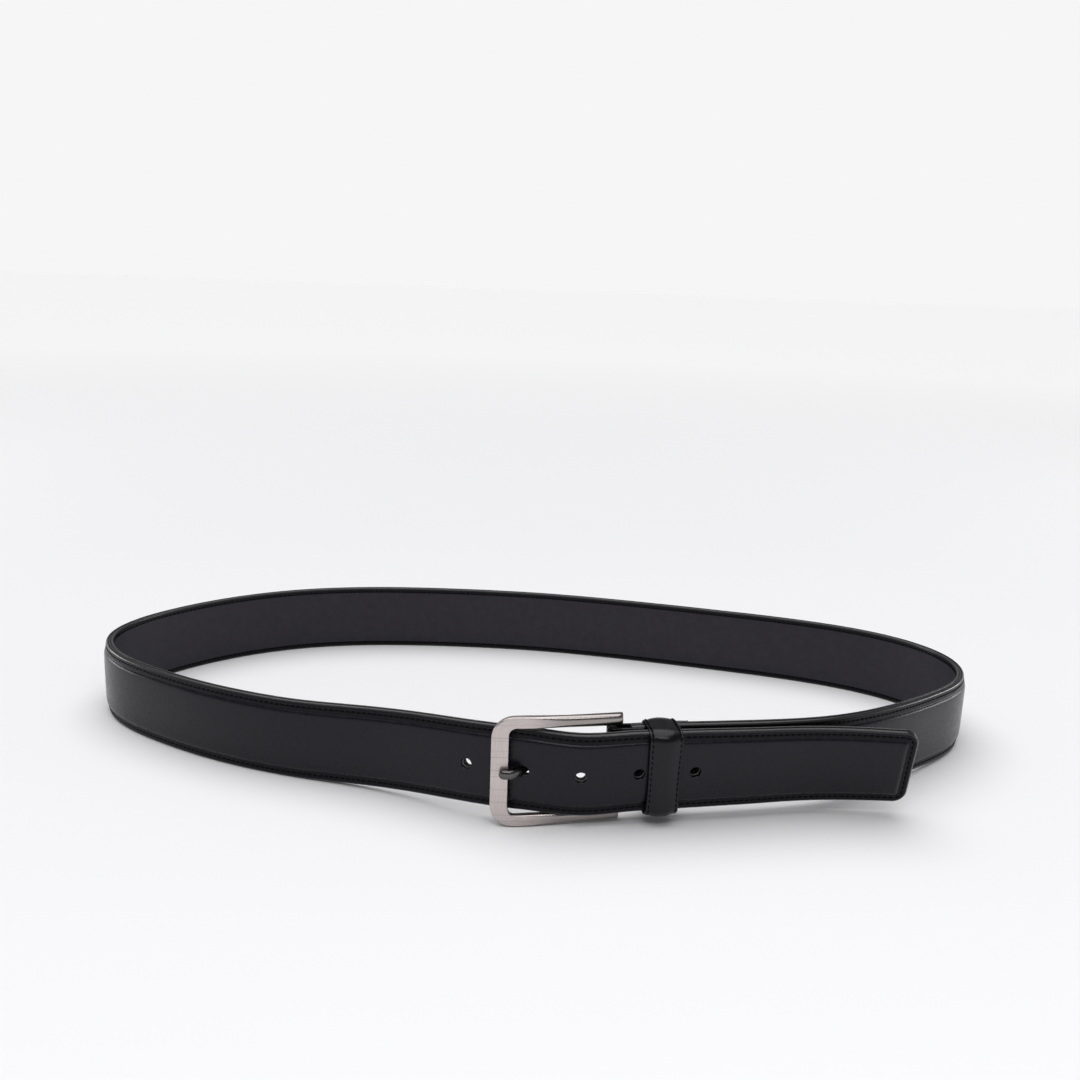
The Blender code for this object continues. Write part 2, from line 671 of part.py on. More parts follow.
def keeper():
    half = KEEPER_HALF_WIDTH
    leather = KEEPER_LINING + GAP
    surface = leather + KEEPER_LEATHER
    keeper_band("keeper_lining", 0, KEEPER_LINING, -half, half, LINING_FINISH, 0)
    keeper_band("keeper_leather", leather, surface, -half, half, LEATHER, KEEPER_BUTT)
    inset = half - 1.5 * MM
    base, top = surface + GAP, surface + GAP + THREAD
    for side, x in (("left", -inset), ("right", inset - THREAD)):
        keeper_band(f"keeper_stitching_{side}", base, top, x, x + THREAD, THREAD_FINISH, 6 * MM)
    y = KEEPER_INNER[1] + surface + GAP
    staple = box("keeper_staple", (-4 * MM, y, -1.6 * MM), (4 * MM, y + 0.6 * MM, 1.6 * MM))
    staple.data.materials.append(METAL)
    staple.data.transform(keeper_place())


# ---------------------------------------------------------------- the whole belt


def set_origin(obj, point):
    """Moves an object's origin onto its joint's axis, leaving its mesh where it is."""
    obj.data.transform(Matrix.Translation(-point))
    obj.location = point


def clear_scene():
    for obj in list(bpy.data.objects):
        bpy.data.objects.remove(obj)


def collection(name):
    made = bpy.data.collections.new(name)
    bpy.context.scene.collection.children.link(made)
    return made


clear_scene()
PARTS = collection("leather_belt")
CUTTERS = collection("cutters")
LEATHER = material("black_leather", (0.018, 0.018, 0.020), 0.42)
LINING_FINISH = material("black_lining", (0.026, 0.025, 0.028), 0.6)
PADDING_FINISH = material("felt_padding", (0.35, 0.34, 0.32), 0.95)
CORE_FINISH = material("fibre_core", (0.30, 0.22, 0.15), 0.9)
THREAD_FINISH = material("black_thread", (0.012, 0.012, 0.013), 0.7)
METAL = material("gunmetal", (0.42, 0.38, 0.37), 0.32, 1.0)
DARK_METAL = material("dark_gunmetal", (0.16, 0.155, 0.155), 0.22, 1.0)


def main():
    seam_start = FOLD_OVERLAP - Route.START + MM
    face_leather()
    main_layer("padding", PADDING, PADDING_HALF_WIDTH, PADDING_FINISH)
    main_layer("core", CORE, HALF_WIDTH, CORE_FINISH)
    main_layer("lining", LINING, HALF_WIDTH, LINING_FINISH)
    seam_rows("face_stitching", MARGIN_FACE, seam_start, SPLIT - GAP)
    seam_rows("lining_stitching", INNER_FACE, FOLD_END - Route.START + MM, SPLIT - GAP)
    fold_stitching()

    free_end_face_leather()
    free_end_padding()
    free_end_layer("free_end_core", CORE, CORE_FINISH)
    free_end_layer("free_end_lining", LINING, LINING_FINISH)
    tip_seam("free_end_face_stitching", MARGIN_FACE)
    tip_seam("free_end_lining_stitching", INNER_FACE)

    buckle_frame()
    pivot_bar()
    prong()
    keeper()
    flex_axis = Vector(ROUTE.place([(SPLIT, CROWN_FACE, 0)])[0])
    on_pivot, in_keeper = ("buckle_frame", "pivot_bar", "prong"), run_point(KEEPER_CENTRE)
    for obj in PARTS.objects:
        obj.data.shade_smooth()
        obj.data.set_sharp_from_angle(angle=math.radians(30))
        if obj.name in on_pivot:
            set_origin(obj, PIVOT)
        elif obj.name.startswith("keeper"):
            set_origin(obj, in_keeper)
        elif obj.name.startswith("free_end"):
            set_origin(obj, flex_axis)
        obj.location += CENTRING


main()
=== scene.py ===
"""Looks for the buckled leather belt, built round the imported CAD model. Metres, +Z up, buckle facing -Y."""

import math

import bmesh
import bpy
import numpy as np
from mathutils import Matrix, Vector


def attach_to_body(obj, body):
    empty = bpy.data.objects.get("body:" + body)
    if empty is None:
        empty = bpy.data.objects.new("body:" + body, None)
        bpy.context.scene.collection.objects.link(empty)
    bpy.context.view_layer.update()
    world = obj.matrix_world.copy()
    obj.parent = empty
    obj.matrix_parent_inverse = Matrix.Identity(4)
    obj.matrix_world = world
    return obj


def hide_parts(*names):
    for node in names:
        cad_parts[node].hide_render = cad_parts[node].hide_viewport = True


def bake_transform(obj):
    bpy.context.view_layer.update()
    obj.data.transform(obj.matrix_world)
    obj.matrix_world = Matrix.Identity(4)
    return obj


MM = 0.001
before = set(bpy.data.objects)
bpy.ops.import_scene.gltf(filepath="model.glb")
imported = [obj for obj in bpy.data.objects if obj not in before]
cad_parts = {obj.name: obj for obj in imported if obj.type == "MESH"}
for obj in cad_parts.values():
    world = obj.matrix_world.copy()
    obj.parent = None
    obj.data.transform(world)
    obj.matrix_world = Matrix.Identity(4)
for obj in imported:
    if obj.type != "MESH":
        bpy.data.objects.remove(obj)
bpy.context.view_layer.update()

# ---------------------------------------------------------------- the strap's route, as in the CAD model

HALF_WIDTH = 19 * MM
RAISED_Z, RESTING_Z = 25.5 * MM, 19 * MM
CENTRING = Vector((0.3 * MM, -1.2 * MM, 0))
PIVOT = Vector((35.6 * MM, -107.3 * MM, RAISED_Z))
RUN_ANGLE = math.radians(10)
STACK_SPACING = 7.0 * MM
STRAP_START = 8 * MM
WINDOW_SAG = 1.1 * MM
FOLD_END, FOLD_HALF_HEIGHT = 34 * MM, 18.7 * MM
BUCKLE_TAPER = 0.03  # how much narrower the strap is at its buckle end
TAPER_FROM, TAPER_TO = 27 * MM, 6 * MM  # from the bar, where it starts and ends
STRAIGHT_END = 60 * MM
RISE_FROM, RISE_TO = -165 * MM, -30 * MM  # where the strap comes up to the buckle, from the bar
SAG_FROM, SAG_DEEPEST, SAG_TO = -42 * MM, -15 * MM, 12 * MM
TWIST_RATE = math.radians(80)
LEAN_LEAD = 44 * MM
TIP_LEAN = math.radians(14)
HOLE_PITCH, HOLE_RADIUS, TIP_TO_HOLE = 25 * MM, 2.35 * MM, 99.9 * MM
HOLES, PRONG_HOLE = 5, 3  # counted from the tip, starting at 0
TIP_RADIUS, TIP_SLANT = 6 * MM, 1 * MM
RIGHT_AND_BACK = [
    (132, -87), (167, -66.5), (198, -40), (221, -12), (226.5, 15), (216, 42), (192, 64),
    (160, 79.5), (110, 95), (55, 109), (0, 119), (-55, 121.8), (-105, 118.5), (-146, 107.5),
]  # fmt: skip
LEFT_AND_FRONT = [
    (-181, 87), (-208, 60), (-224.5, 31), (-227, 9), (-215, -17), (-188, -40), (-152, -60.5),
    (-112, -75.5), (-76, -85.5), (-50, -95.5), (-25, -106.6), (-8.5, -112), (8, -115), (22, -115.8),
]  # fmt: skip
FREE_END = [(119, -99.4), (143, -97.3), (170.4, -97.9)]


def run_direction():
    return Vector((math.cos(RUN_ANGLE), math.sin(RUN_ANGLE), 0))


def run_outward():
    return Vector((math.sin(RUN_ANGLE), -math.cos(RUN_ANGLE), 0))


def run_point(along, outward=0.0):
    """A point on the doubled strap, before centring."""
    return PIVOT + along * run_direction() + outward * run_outward()


def cubic_spline(knots, start_tangent, end_tangent, step):
    """Points along a curvature-continuous curve through the knots. A tangent of None leaves that end free."""
    knots = np.array(knots, float)
    span = np.linalg.norm(np.diff(knots, axis=0), axis=1)
    n = len(knots)
    a, b = np.zeros((n, n)), np.zeros((n, 2))
    slope = np.diff(knots, axis=0) / span[:, None]
    for i in range(1, n - 1):
        a[i, i - 1], a[i, i], a[i, i + 1] = span[i], 2 * (span[i - 1] + span[i]), span[i - 1]
        b[i] = 3 * (span[i] * slope[i - 1] + span[i - 1] * slope[i])
    for row, side, tangent in ((0, 1, start_tangent), (n - 1, n - 2, end_tangent)):
        a[row, row] = 1 if tangent is not None else 2
        a[row, side] = 0 if tangent is not None else 1
        b[row] = tangent if tangent is not None else 3 * slope[min(row, side)]
    speed = np.linalg.solve(a, b)
    points = []
    for i in range(n - 1):
        count = max(2, round(span[i] / step))
        t = np.arange(count)[:, None] / count
        points.append(
            (1 + 2 * t) * (1 - t) ** 2 * knots[i]
            + t * (1 - t) ** 2 * span[i] * speed[i]
            + t**2 * (3 - 2 * t) * knots[i + 1]
            - t**2 * (1 - t) * span[i] * speed[i + 1]
        )
    return np.vstack(points + [knots[-1:]])


def distances(line):
    """Distance along a line of points, at each of them."""
    return np.concatenate([[0], np.cumsum(np.linalg.norm(np.diff(line, axis=0), axis=1))])


def smooth_step(value, start, end):
    t = np.clip((value - start) / (end - start), 0, 1)
    return t * t * (3 - 2 * t)


class Route:
    """The strap's middle line in space, by distance from its start beside the pivot bar."""

    START = -5 * MM
    STEP = 1 * MM
    SETTLE = 190 * MM

    def __init__(self):
        along = np.array(run_direction()[:2])
        buckle_end = [run_point(self.START)[:2], run_point(STRAIGHT_END)[:2]]
        over_pivot = run_point(0, STACK_SPACING)[:2]
        flex = run_point(STRAIGHT_END, STACK_SPACING)[:2]
        loop = [buckle_end[1]] + [Vector(p) * MM for p in RIGHT_AND_BACK + LEFT_AND_FRONT] + [over_pivot]
        tail = [flex] + [Vector(p) * MM for p in FREE_END]
        plan = [
            self.straight(*buckle_end),
            cubic_spline(loop, along, along, self.STEP),
            self.straight(over_pivot, flex),
            cubic_spline(tail, along, None, self.STEP),
        ]
        lengths = [np.linalg.norm(np.diff(p, axis=0), axis=1).sum() for p in plan]
        self.over_pivot = lengths[0] + lengths[1]
        self.length = sum(lengths)
        self.plan = np.vstack([plan[0]] + [p[1:] for p in plan[1:]])
        self.at = distances(self.plan)
        self.tangent = np.gradient(self.plan, self.at, axis=0)
        self.tangent /= np.linalg.norm(self.tangent, axis=1)[:, None]

    def straight(self, start, end):
        start, end = np.array(start), np.array(end)
        count = round(np.linalg.norm(end - start) / self.STEP)
        return start + (end - start) * np.linspace(0, 1, count + 1)[:, None]

    def height(self, s):
        leaving = smooth_step(s, STRAIGHT_END, STRAIGHT_END + self.SETTLE)
        free = s - self.over_pivot
        coming = smooth_step(free, RISE_FROM, RISE_TO)
        sag = smooth_step(free, SAG_FROM, SAG_DEEPEST) - smooth_step(free, SAG_DEEPEST, SAG_TO)
        return RAISED_Z + (RESTING_Z - RAISED_Z) * (leaving - coming) - WINDOW_SAG * sag

    def lean(self, s):
        buckle_end = TWIST_RATE * np.clip(s + self.START, 0, STRAIGHT_END)
        settled = 1 - smooth_step(s, STRAIGHT_END, STRAIGHT_END + self.SETTLE)
        free = s - self.over_pivot
        before_flex = TWIST_RATE * np.clip(free + LEAN_LEAD, 0, STRAIGHT_END + LEAN_LEAD)
        tail = np.clip((free - STRAIGHT_END) / (self.length - self.over_pivot - STRAIGHT_END), 0, 1)
        tip_extra = TIP_LEAN - TWIST_RATE * (STRAIGHT_END + LEAN_LEAD)
        return buckle_end * settled + before_flex + tip_extra * tail

    def axes(self, s):
        """Middle point, and the along, inward and up directions, at each distance in s."""
        base = np.stack([np.interp(s, self.at, self.plan[:, k]) for k in (0, 1)], axis=1)
        tangent = np.stack([np.interp(s, self.at, self.tangent[:, k]) for k in (0, 1)], axis=1)
        tangent /= np.linalg.norm(tangent, axis=1)[:, None]
        base += (np.minimum(s, 0) + np.maximum(s - self.length, 0))[:, None] * tangent
        lean, zero = self.lean(s), np.zeros(len(s))
        normal = np.stack([-tangent[:, 1], tangent[:, 0]], axis=1)
        middle = np.column_stack([base, self.height(s)]) + np.array(CENTRING)
        along = np.column_stack([tangent, zero])
        inward = np.column_stack([normal * np.cos(lean)[:, None], np.sin(lean)])
        up = np.column_stack([normal * -np.sin(lean)[:, None], np.cos(lean)])
        return middle, along, inward, up

    def place(self, flat):
        """Flat coordinates (along, inward, up) of the strap, as an n by 3 array, bent into space."""
        flat = np.asarray(flat, float)
        middle, _, inward, up = self.axes(flat[:, 0])
        narrow = 1 - BUCKLE_TAPER * (1 - smooth_step(flat[:, 0] + self.START, TAPER_TO, TAPER_FROM))
        return middle + flat[:, 1:2] * inward + flat[:, 2:3] * narrow[:, None] * up

    def turn(self, flat, directions):
        """Directions given in flat axes at flat positions, turned into space."""
        _, along, inward, up = self.axes(np.asarray(flat, float)[:, 0])
        d = np.asarray(directions, float)
        return d[:, 0:1] * along + d[:, 1:2] * inward + d[:, 2:3] * up


ROUTE = Route()
FREE_START = ROUTE.over_pivot
TIP = ROUTE.length
ZERO = -Route.START  # route distance of the pivot on the buckle end
CUT = FREE_START + 46 * MM  # where the strap's visible pieces part, in its straight stretch
FLEX = (CUT + 1 * MM, CUT + 30 * MM)  # a stretch of the free end just past the cut

# ---------------------------------------------------------------- materials


class Nodes:
    """A small helper for building one material's nodes."""

    def __init__(self, name):
        self.material = bpy.data.materials.new(name)
        self.material.use_nodes = True
        self.tree = self.material.node_tree
        self.shader = self.tree.nodes["Principled BSDF"]

    def add(self, kind, **settings):
        node = self.tree.nodes.new("ShaderNode" + kind)
        for key, value in settings.items():
            if hasattr(node, key):
                setattr(node, key, value)
            else:
                node.inputs[key.replace("_", " ")].default_value = value
        return node

    def link(self, a, b):
        self.tree.links.new(a, b)

    def flat(self, scale=(1, 1, 1)):
        """The unbent position, which every pattern on the belt is drawn in."""
        source = self.add("Attribute", attribute_name="flat")
        mapping = self.add("Mapping")
        mapping.inputs["Scale"].default_value = scale
        self.link(source.outputs["Vector"], mapping.inputs["Vector"])
        return mapping.outputs["Vector"]

    def noise(self, vector, scale, detail=2.0, rough=0.5):
        node = self.add("TexNoise", Scale=scale, Detail=detail, Roughness=rough)
        self.link(vector, node.inputs["Vector"])
        return node.outputs["Fac"]

    def ramp(self, factor, low, high, start=0.3, end=0.7):
        node = self.add("ValToRGB")
        for stop, position, color in zip(node.color_ramp.elements, (start, end), (low, high)):
            stop.position, stop.color = position, (*color, 1)
        self.link(factor, node.inputs["Fac"])
        return node.outputs["Color"]

    def spread(self, factor, low, high):
        node = self.add("MapRange")
        node.inputs["From Min"].default_value, node.inputs["From Max"].default_value = 0.3, 0.7
        node.inputs["To Min"].default_value, node.inputs["To Max"].default_value = low, high
        self.link(factor, node.inputs["Value"])
        return node.outputs["Result"]

    def bump(self, height, distance, strength=1.0, under=None):
        node = self.add("Bump", Distance=distance, Strength=strength)
        self.link(height, node.inputs["Height"])
        if under is not None:
            self.link(under, node.inputs["Normal"])
        return node.outputs["Normal"]

    def put(self, socket, value):
        if isinstance(value, bpy.types.NodeSocket):
            self.link(value, socket)
        else:
            socket.default_value = value

    def mix(self, factor, a, b, **settings):
        node = self.add("Mix", **settings)
        for name, value in (("Factor", factor), ("A", a), ("B", b)):
            self.put(node.inputs[name], value)
        return node.outputs["Result"]

    def finish(self, color, normal, **values):
        """Joins the look to the shader. A value is another node's output or a constant."""
        for key, value in {"Base_Color": color, "Normal": normal, **values}.items():
            self.put(self.shader.inputs[key.replace("_", " ")], value)
        return self.material


def leather(name, dark, light, rough, grain, specular):
    """Dyed leather: fine pebbled grain, soft undulation and a slightly uneven finish."""
    m = Nodes(name)
    vector = m.flat()
    pores = m.add("TexVoronoi", Scale=1500.0, feature="SMOOTH_F1")
    m.link(vector, pores.inputs["Vector"])
    patch = m.noise(vector, 260, 4, 0.6)
    normal = m.bump(m.noise(vector, 55, 3, 0.5), 0.12 * MM)
    normal = m.bump(pores.outputs["Distance"], 0.05 * MM, grain, normal)
    normal = m.bump(m.noise(vector, 3200, 3, 0.6), 0.02 * MM, grain, normal)
    rough = m.spread(patch, rough - 0.035, rough + 0.045)
    m.finish(m.ramp(patch, dark, light), normal, Roughness=rough, Specular_IOR_Level=specular)
    m.shader.inputs["Specular Tint"].default_value = (0.97, 0.93, 1.0, 1.0)
    return m.material


def edge_paint():
    """Painted leather edge: smoother and glossier than the face, with faint ripples along it."""
    m = Nodes("edge_paint")
    vector = m.flat((1, 3, 1))
    color = m.ramp(m.noise(vector, 900), (0.008, 0.008, 0.009), (0.02, 0.02, 0.022))
    normal = m.bump(m.noise(vector, 500, 3), 0.12 * MM)
    gloss = {"Roughness": 0.3, "Specular_IOR_Level": 0.4, "Coat_Weight": 0.3, "Coat_Roughness": 0.18}
    return m.finish(color, normal, **gloss)


def thread():
    """Waxed black thread with its twist."""
    m = Nodes("black_thread")
    vector = m.flat()
    ply = m.add("TexWave", Scale=900.0, Distortion=1.0, bands_direction="DIAGONAL")
    m.link(vector, ply.inputs["Vector"])
    color = m.ramp(m.noise(vector, 800), (0.0025, 0.0025, 0.003), (0.006, 0.006, 0.007))
    return m.finish(color, m.bump(ply.outputs["Fac"], 0.08 * MM), Roughness=0.8, Specular_IOR_Level=0.06)


def brushed_metal():
    """Gunmetal plating: brushed with faint darker lines across the front bar, polished along the arms."""
    m = Nodes("brushed_gunmetal")
    polish = m.add("Attribute", attribute_name="polish").outputs["Fac"]
    streaks = m.noise(m.flat((1, 45, 45)), 110, 4, 0.75)
    # Faint darker lines across the bar at several heights, from a noise on height alone.
    level = m.add("Mapping")
    level.inputs["Scale"].default_value = (0, 0, 1)
    m.link(m.add("TexCoord").outputs["Object"], level.inputs["Vector"])
    offset, size = m.add("Math", operation="SUBTRACT"), m.add("Math", operation="ABSOLUTE")
    m.put(offset.inputs[0], m.noise(level.outputs["Vector"], 170, 1, 0.2))
    m.put(offset.inputs[1], 0.5)
    m.put(size.inputs[0], offset.outputs[0])
    lines = m.ramp(size.outputs[0], (0.45, 0.42, 0.41), (1, 1, 1), 0.002, 0.009)
    brushed = m.ramp(streaks, (0.44, 0.39, 0.374), (0.66, 0.60, 0.584), 0.28, 0.72)
    brushed_and_lined = m.mix(0.45, brushed, lines, data_type="RGBA", blend_type="MULTIPLY")
    color = m.mix(polish, brushed_and_lined, (0.31, 0.282, 0.272, 1), data_type="RGBA")
    cloud = m.noise(m.flat(), 160, 3)
    rough = m.mix(polish, m.spread(cloud, 0.29, 0.38), m.spread(cloud, 0.13, 0.2), data_type="FLOAT")
    relief = m.mix(polish, streaks, 0.5, data_type="FLOAT")
    return m.finish(color, m.bump(relief, 0.02 * MM), Roughness=rough, Metallic=1.0)


def polished_metal(name, dark, light, rough):
    """Polished plating with faint streaks along the piece."""
    m = Nodes(name)
    streaks = m.noise(m.flat((1, 30, 30)), 60, 3, 0.6)
    rough = m.spread(streaks, rough - 0.03, rough + 0.05)
    return m.finish(m.ramp(streaks, dark, light), m.bump(streaks, 0.008 * MM), Roughness=rough, Metallic=1.0)


def soft_fill(name, dark, light):
    """The matt fibres of the felt and the core, seen only at cut edges."""
    m = Nodes(name)
    vector = m.flat()
    normal = m.bump(m.noise(vector, 2500, 4), 0.2 * MM)
    return m.finish(m.ramp(m.noise(vector, 1200, 4), dark, light), normal, Roughness=0.95)


FACE = leather("face_leather_finish", (0.0042, 0.0038, 0.0062), (0.0062, 0.0057, 0.0089), 0.28, 0.45, 0.26)
LINING = leather("lining_finish", (0.024, 0.0222, 0.0285), (0.032, 0.0298, 0.037), 0.56, 0.9, 0.26)
KEEPER = leather("keeper_leather_finish", (0.0016, 0.0014, 0.0022), (0.0030, 0.0027, 0.0040), 0.25, 0.4, 0.3)
EDGE = edge_paint()
# The margin's darker colour is partly the dyed border and partly painted shade, standing in for the dark
# reflections along the strap's edges.
MARGIN = leather("margin_dye_and_painted_shade", (0.0028, 0.0026, 0.0036), (0.0048, 0.0045, 0.006), 0.36, 0.6, 0.16)
THREAD = thread()
METAL = brushed_metal()
DARK_METAL = polished_metal("dark_gunmetal_finish", (0.085, 0.08, 0.08), (0.13, 0.124, 0.122), 0.16)
BAR_METAL = polished_metal("bar_gunmetal_finish", (0.30, 0.275, 0.27), (0.38, 0.35, 0.34), 0.28)
FELT = soft_fill("felt_finish", (0.22, 0.21, 0.2), (0.34, 0.33, 0.31))
FIBRE = soft_fill("fibre_finish", (0.012, 0.012, 0.013), (0.022, 0.021, 0.022))

# ---------------------------------------------------------------- mesh helpers


def new_object(name, mesh, *finishes):
    obj = bpy.data.objects.new(name, mesh)
    bpy.context.scene.collection.objects.link(obj)
    for finish in finishes:
        mesh.materials.append(finish)
    return obj


def mesh_from(name, points, faces):
    mesh = bpy.data.meshes.new(name)
    mesh.from_pydata([tuple(p) for p in points], [], faces)
    mesh.update()
    return mesh


def solid(name, points, faces, weld=0.0):
    """A closed mesh whose faces all point out, going by the enclosed volume."""
    mesh = mesh_from(name, points, faces)
    bm = bmesh.new()
    bm.from_mesh(mesh)
    if weld:
        bmesh.ops.remove_doubles(bm, verts=bm.verts, dist=weld)
    bmesh.ops.recalc_face_normals(bm, faces=bm.faces)
    if bm.calc_volume(signed=True) < 0:
        bmesh.ops.reverse_faces(bm, faces=bm.faces)
    bm.to_mesh(mesh)
    bm.free()
    return mesh


def around(count):
    """Evenly spaced angles for one turn."""
    return np.arange(count) * 2 * math.pi / count


def squarer(a, power):
    """Cosine and sine of an angle, pushed towards a square by a power under 1."""
    return (math.copysign(abs(v) ** power, v) for v in (math.cos(a), math.sin(a)))


def normals(line):
    """Directions square to a plane line, to the left of its travel."""
    tangent = np.gradient(line, axis=0)
    tangent /= np.linalg.norm(tangent, axis=1)[:, None]
    return np.column_stack([-tangent[:, 1], tangent[:, 0]])


def tube(rings, n, closed=False):
    """Faces of a tube of rings with n points each: capped at both ends, or closed on itself."""
    faces = [] if closed else [tuple(range(n)), tuple(reversed(range((rings - 1) * n, rings * n)))]
    for i in range(rings if closed else rings - 1):
        a, b = i * n, (i + 1) % rings * n
        faces += [(a + j, b + j, b + (j + 1) % n, a + (j + 1) % n) for j in range(n)]
    return faces


def label(obj, node, body=None):
    """Hides the CAD node a piece stands in for, and fixes the piece to the body it rides on."""
    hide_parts(node)
    if body:
        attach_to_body(obj, body)
    return obj


def remember_flat(mesh, values=None):
    """Stores each vertex's unbent position, which the materials take their pattern from."""
    if values is None:
        values = np.zeros(len(mesh.vertices) * 3, np.float32)
        mesh.vertices.foreach_get("co", values)
    attribute = mesh.attributes.get("flat") or mesh.attributes.new("flat", "FLOAT_VECTOR", "POINT")
    attribute.data.foreach_set("vector", np.asarray(values, np.float32).ravel())


def smooth(mesh, angle=38):
    mesh.shade_smooth()
    mesh.set_sharp_from_angle(angle=math.radians(angle))


def bend(mesh, angle=38):
    """Bends an unbent strap mesh along the route, keeping the shading that it has while flat."""
    remember_flat(mesh)
    smooth(mesh, angle)
    flat = np.zeros(len(mesh.vertices) * 3)
    mesh.vertices.foreach_get("co", flat)
    flat = flat.reshape(-1, 3)
    corner = np.zeros(len(mesh.loops) * 3)
    mesh.corner_normals.foreach_get("vector", corner)
    index = np.zeros(len(mesh.loops), np.int32)
    mesh.loops.foreach_get("vertex_index", index)
    turned = ROUTE.turn(flat[index], corner.reshape(-1, 3))
    mesh.vertices.foreach_set("co", ROUTE.place(flat).ravel())
    mesh.update()
    mesh.normals_split_custom_set([tuple(n) for n in turned])


def boolean(obj, other, operation="DIFFERENCE"):
    modifier = obj.modifiers.new("cut", "BOOLEAN")
    modifier.operation = operation
    modifier.object = other
    bpy.context.view_layer.update()
    graph = bpy.context.evaluated_depsgraph_get()
    mesh = bpy.data.meshes.new_from_object(obj.evaluated_get(graph))
    obj.modifiers.clear()
    obj.data = mesh
    bpy.data.objects.remove(other)


# ---------------------------------------------------------------- the strap's layers
# A layer's edge is a list of (distance in from the edge, height) from the outer face round to the inner
# face. Heights are inward from the middle of the strap's thickness, in millimetres.

INSET = 7.4  # where the edge lists end and the middle of the face begins
DOME = 0.1
PAINTED = 0.9 * MM  # how far the edge paint reaches in
FACE_MARGIN, LINING_MARGIN = 4.3 * MM, 3.2 * MM  # how far the darker margin beside the seams reaches in: partly dyed border, partly painted shade for the dark reflections along the edges
FACE_MOUTH = -3.04  # height of the face where the holes' mouths open
FACE_EDGE = [
    (7.4, -2.92), (6.66, -2.88), (6.06, -2.81), (5.56, -2.7), (5.16, -2.54), (4.84, -2.35), (4.6, -2.13),
    (4.42, -1.95), (4.25, -1.87), (4.0, -1.84), (3.6, -1.84), (3.1, -1.82), (2.82, -1.7), (2.5, -1.58),
    (2.18, -1.64), (1.95, -1.74), (1.6, -1.78), (1.2, -1.76), (0.8, -1.67), (0.5, -1.53), (0.25, -1.33),
    (0.08, -1.12), (0.02, -0.96), (0.1, -0.82), (0.25, -0.72), (0.5, -0.7), (4.6, -0.7), (6.0, -0.95),
    (7.4, -1.45),
]  # fmt: skip
CORE_EDGE = [(7.4, -0.5), (0.7, -0.5), (0.42, -0.45), (0.3, -0.3), (0.26, 0.05), (0.3, 0.4), (0.42, 0.55),
             (0.6, 0.6), (7.4, 0.6)]  # fmt: skip
LINING_EDGE = [
    (7.4, 0.8), (0.5, 0.8), (0.22, 0.84), (0.06, 0.98), (0.0, 1.25), (0.05, 1.55), (0.2, 1.8), (0.45, 1.94),
    (0.9, 2.0), (2.0, 1.97), (2.25, 1.86), (2.5, 1.8), (2.75, 1.86), (3.0, 1.97), (3.5, 2.0), (7.4, 2.0),
]  # fmt: skip
ROWS = 9
LAYER_STEP = 2.2 * MM


def interior(height, domed):
    """The face between the two edges: (height, z) from the upper edge down, without the edges' own points."""
    z = np.linspace(1, -1, ROWS)[1:-1]
    reach = HALF_WIDTH / MM - INSET
    return [(height - (DOME * (1 - v * v) if domed else 0), v * reach) for v in z]


def layer_loop(edge, domed):
    """A layer's whole section as a closed loop: upper edge, inner face, lower edge, outer face."""
    half = HALF_WIDTH / MM
    upper = [(y, half - d) for d, y in edge]
    lower = [(y, d - half) for d, y in reversed(edge)]
    return upper + interior(edge[-1][1], False) + lower + interior(edge[0][1], domed)[::-1]


def tip_path(segments=9):
    """Outline of the free end from its upper side round to its lower side, with inward directions (mm)."""
    half, radius = HALF_WIDTH / MM, TIP_RADIUS / MM
    upper, lower = np.array((0.0, half)), np.array((-TIP_SLANT / MM, -half))
    down = (lower - upper) / np.linalg.norm(lower - upper)
    points, inward = [], []
    for corner, before, after in ((upper, (-1.0, 0.0), down), (lower, -down, (-1.0, 0.0))):
        before, after = np.array(before), np.array(after)
        half_angle = math.acos(np.dot(before, after)) / 2
        middle = before + after
        centre = corner + middle / np.linalg.norm(middle) * radius / math.sin(half_angle)
        start = corner + before * radius / math.tan(half_angle) - centre
        end = corner + after * radius / math.tan(half_angle) - centre
        a0, a1 = math.atan2(start[1], start[0]), math.atan2(end[1], end[0])
        if a1 > a0:
            a1 -= 2 * math.pi
        for t in np.linspace(0, 1, segments):
            a = a0 + (a1 - a0) * t
            arm = np.array((math.cos(a), math.sin(a)))
            points.append(centre + radius * arm)
            inward.append(-arm)
    return points, inward


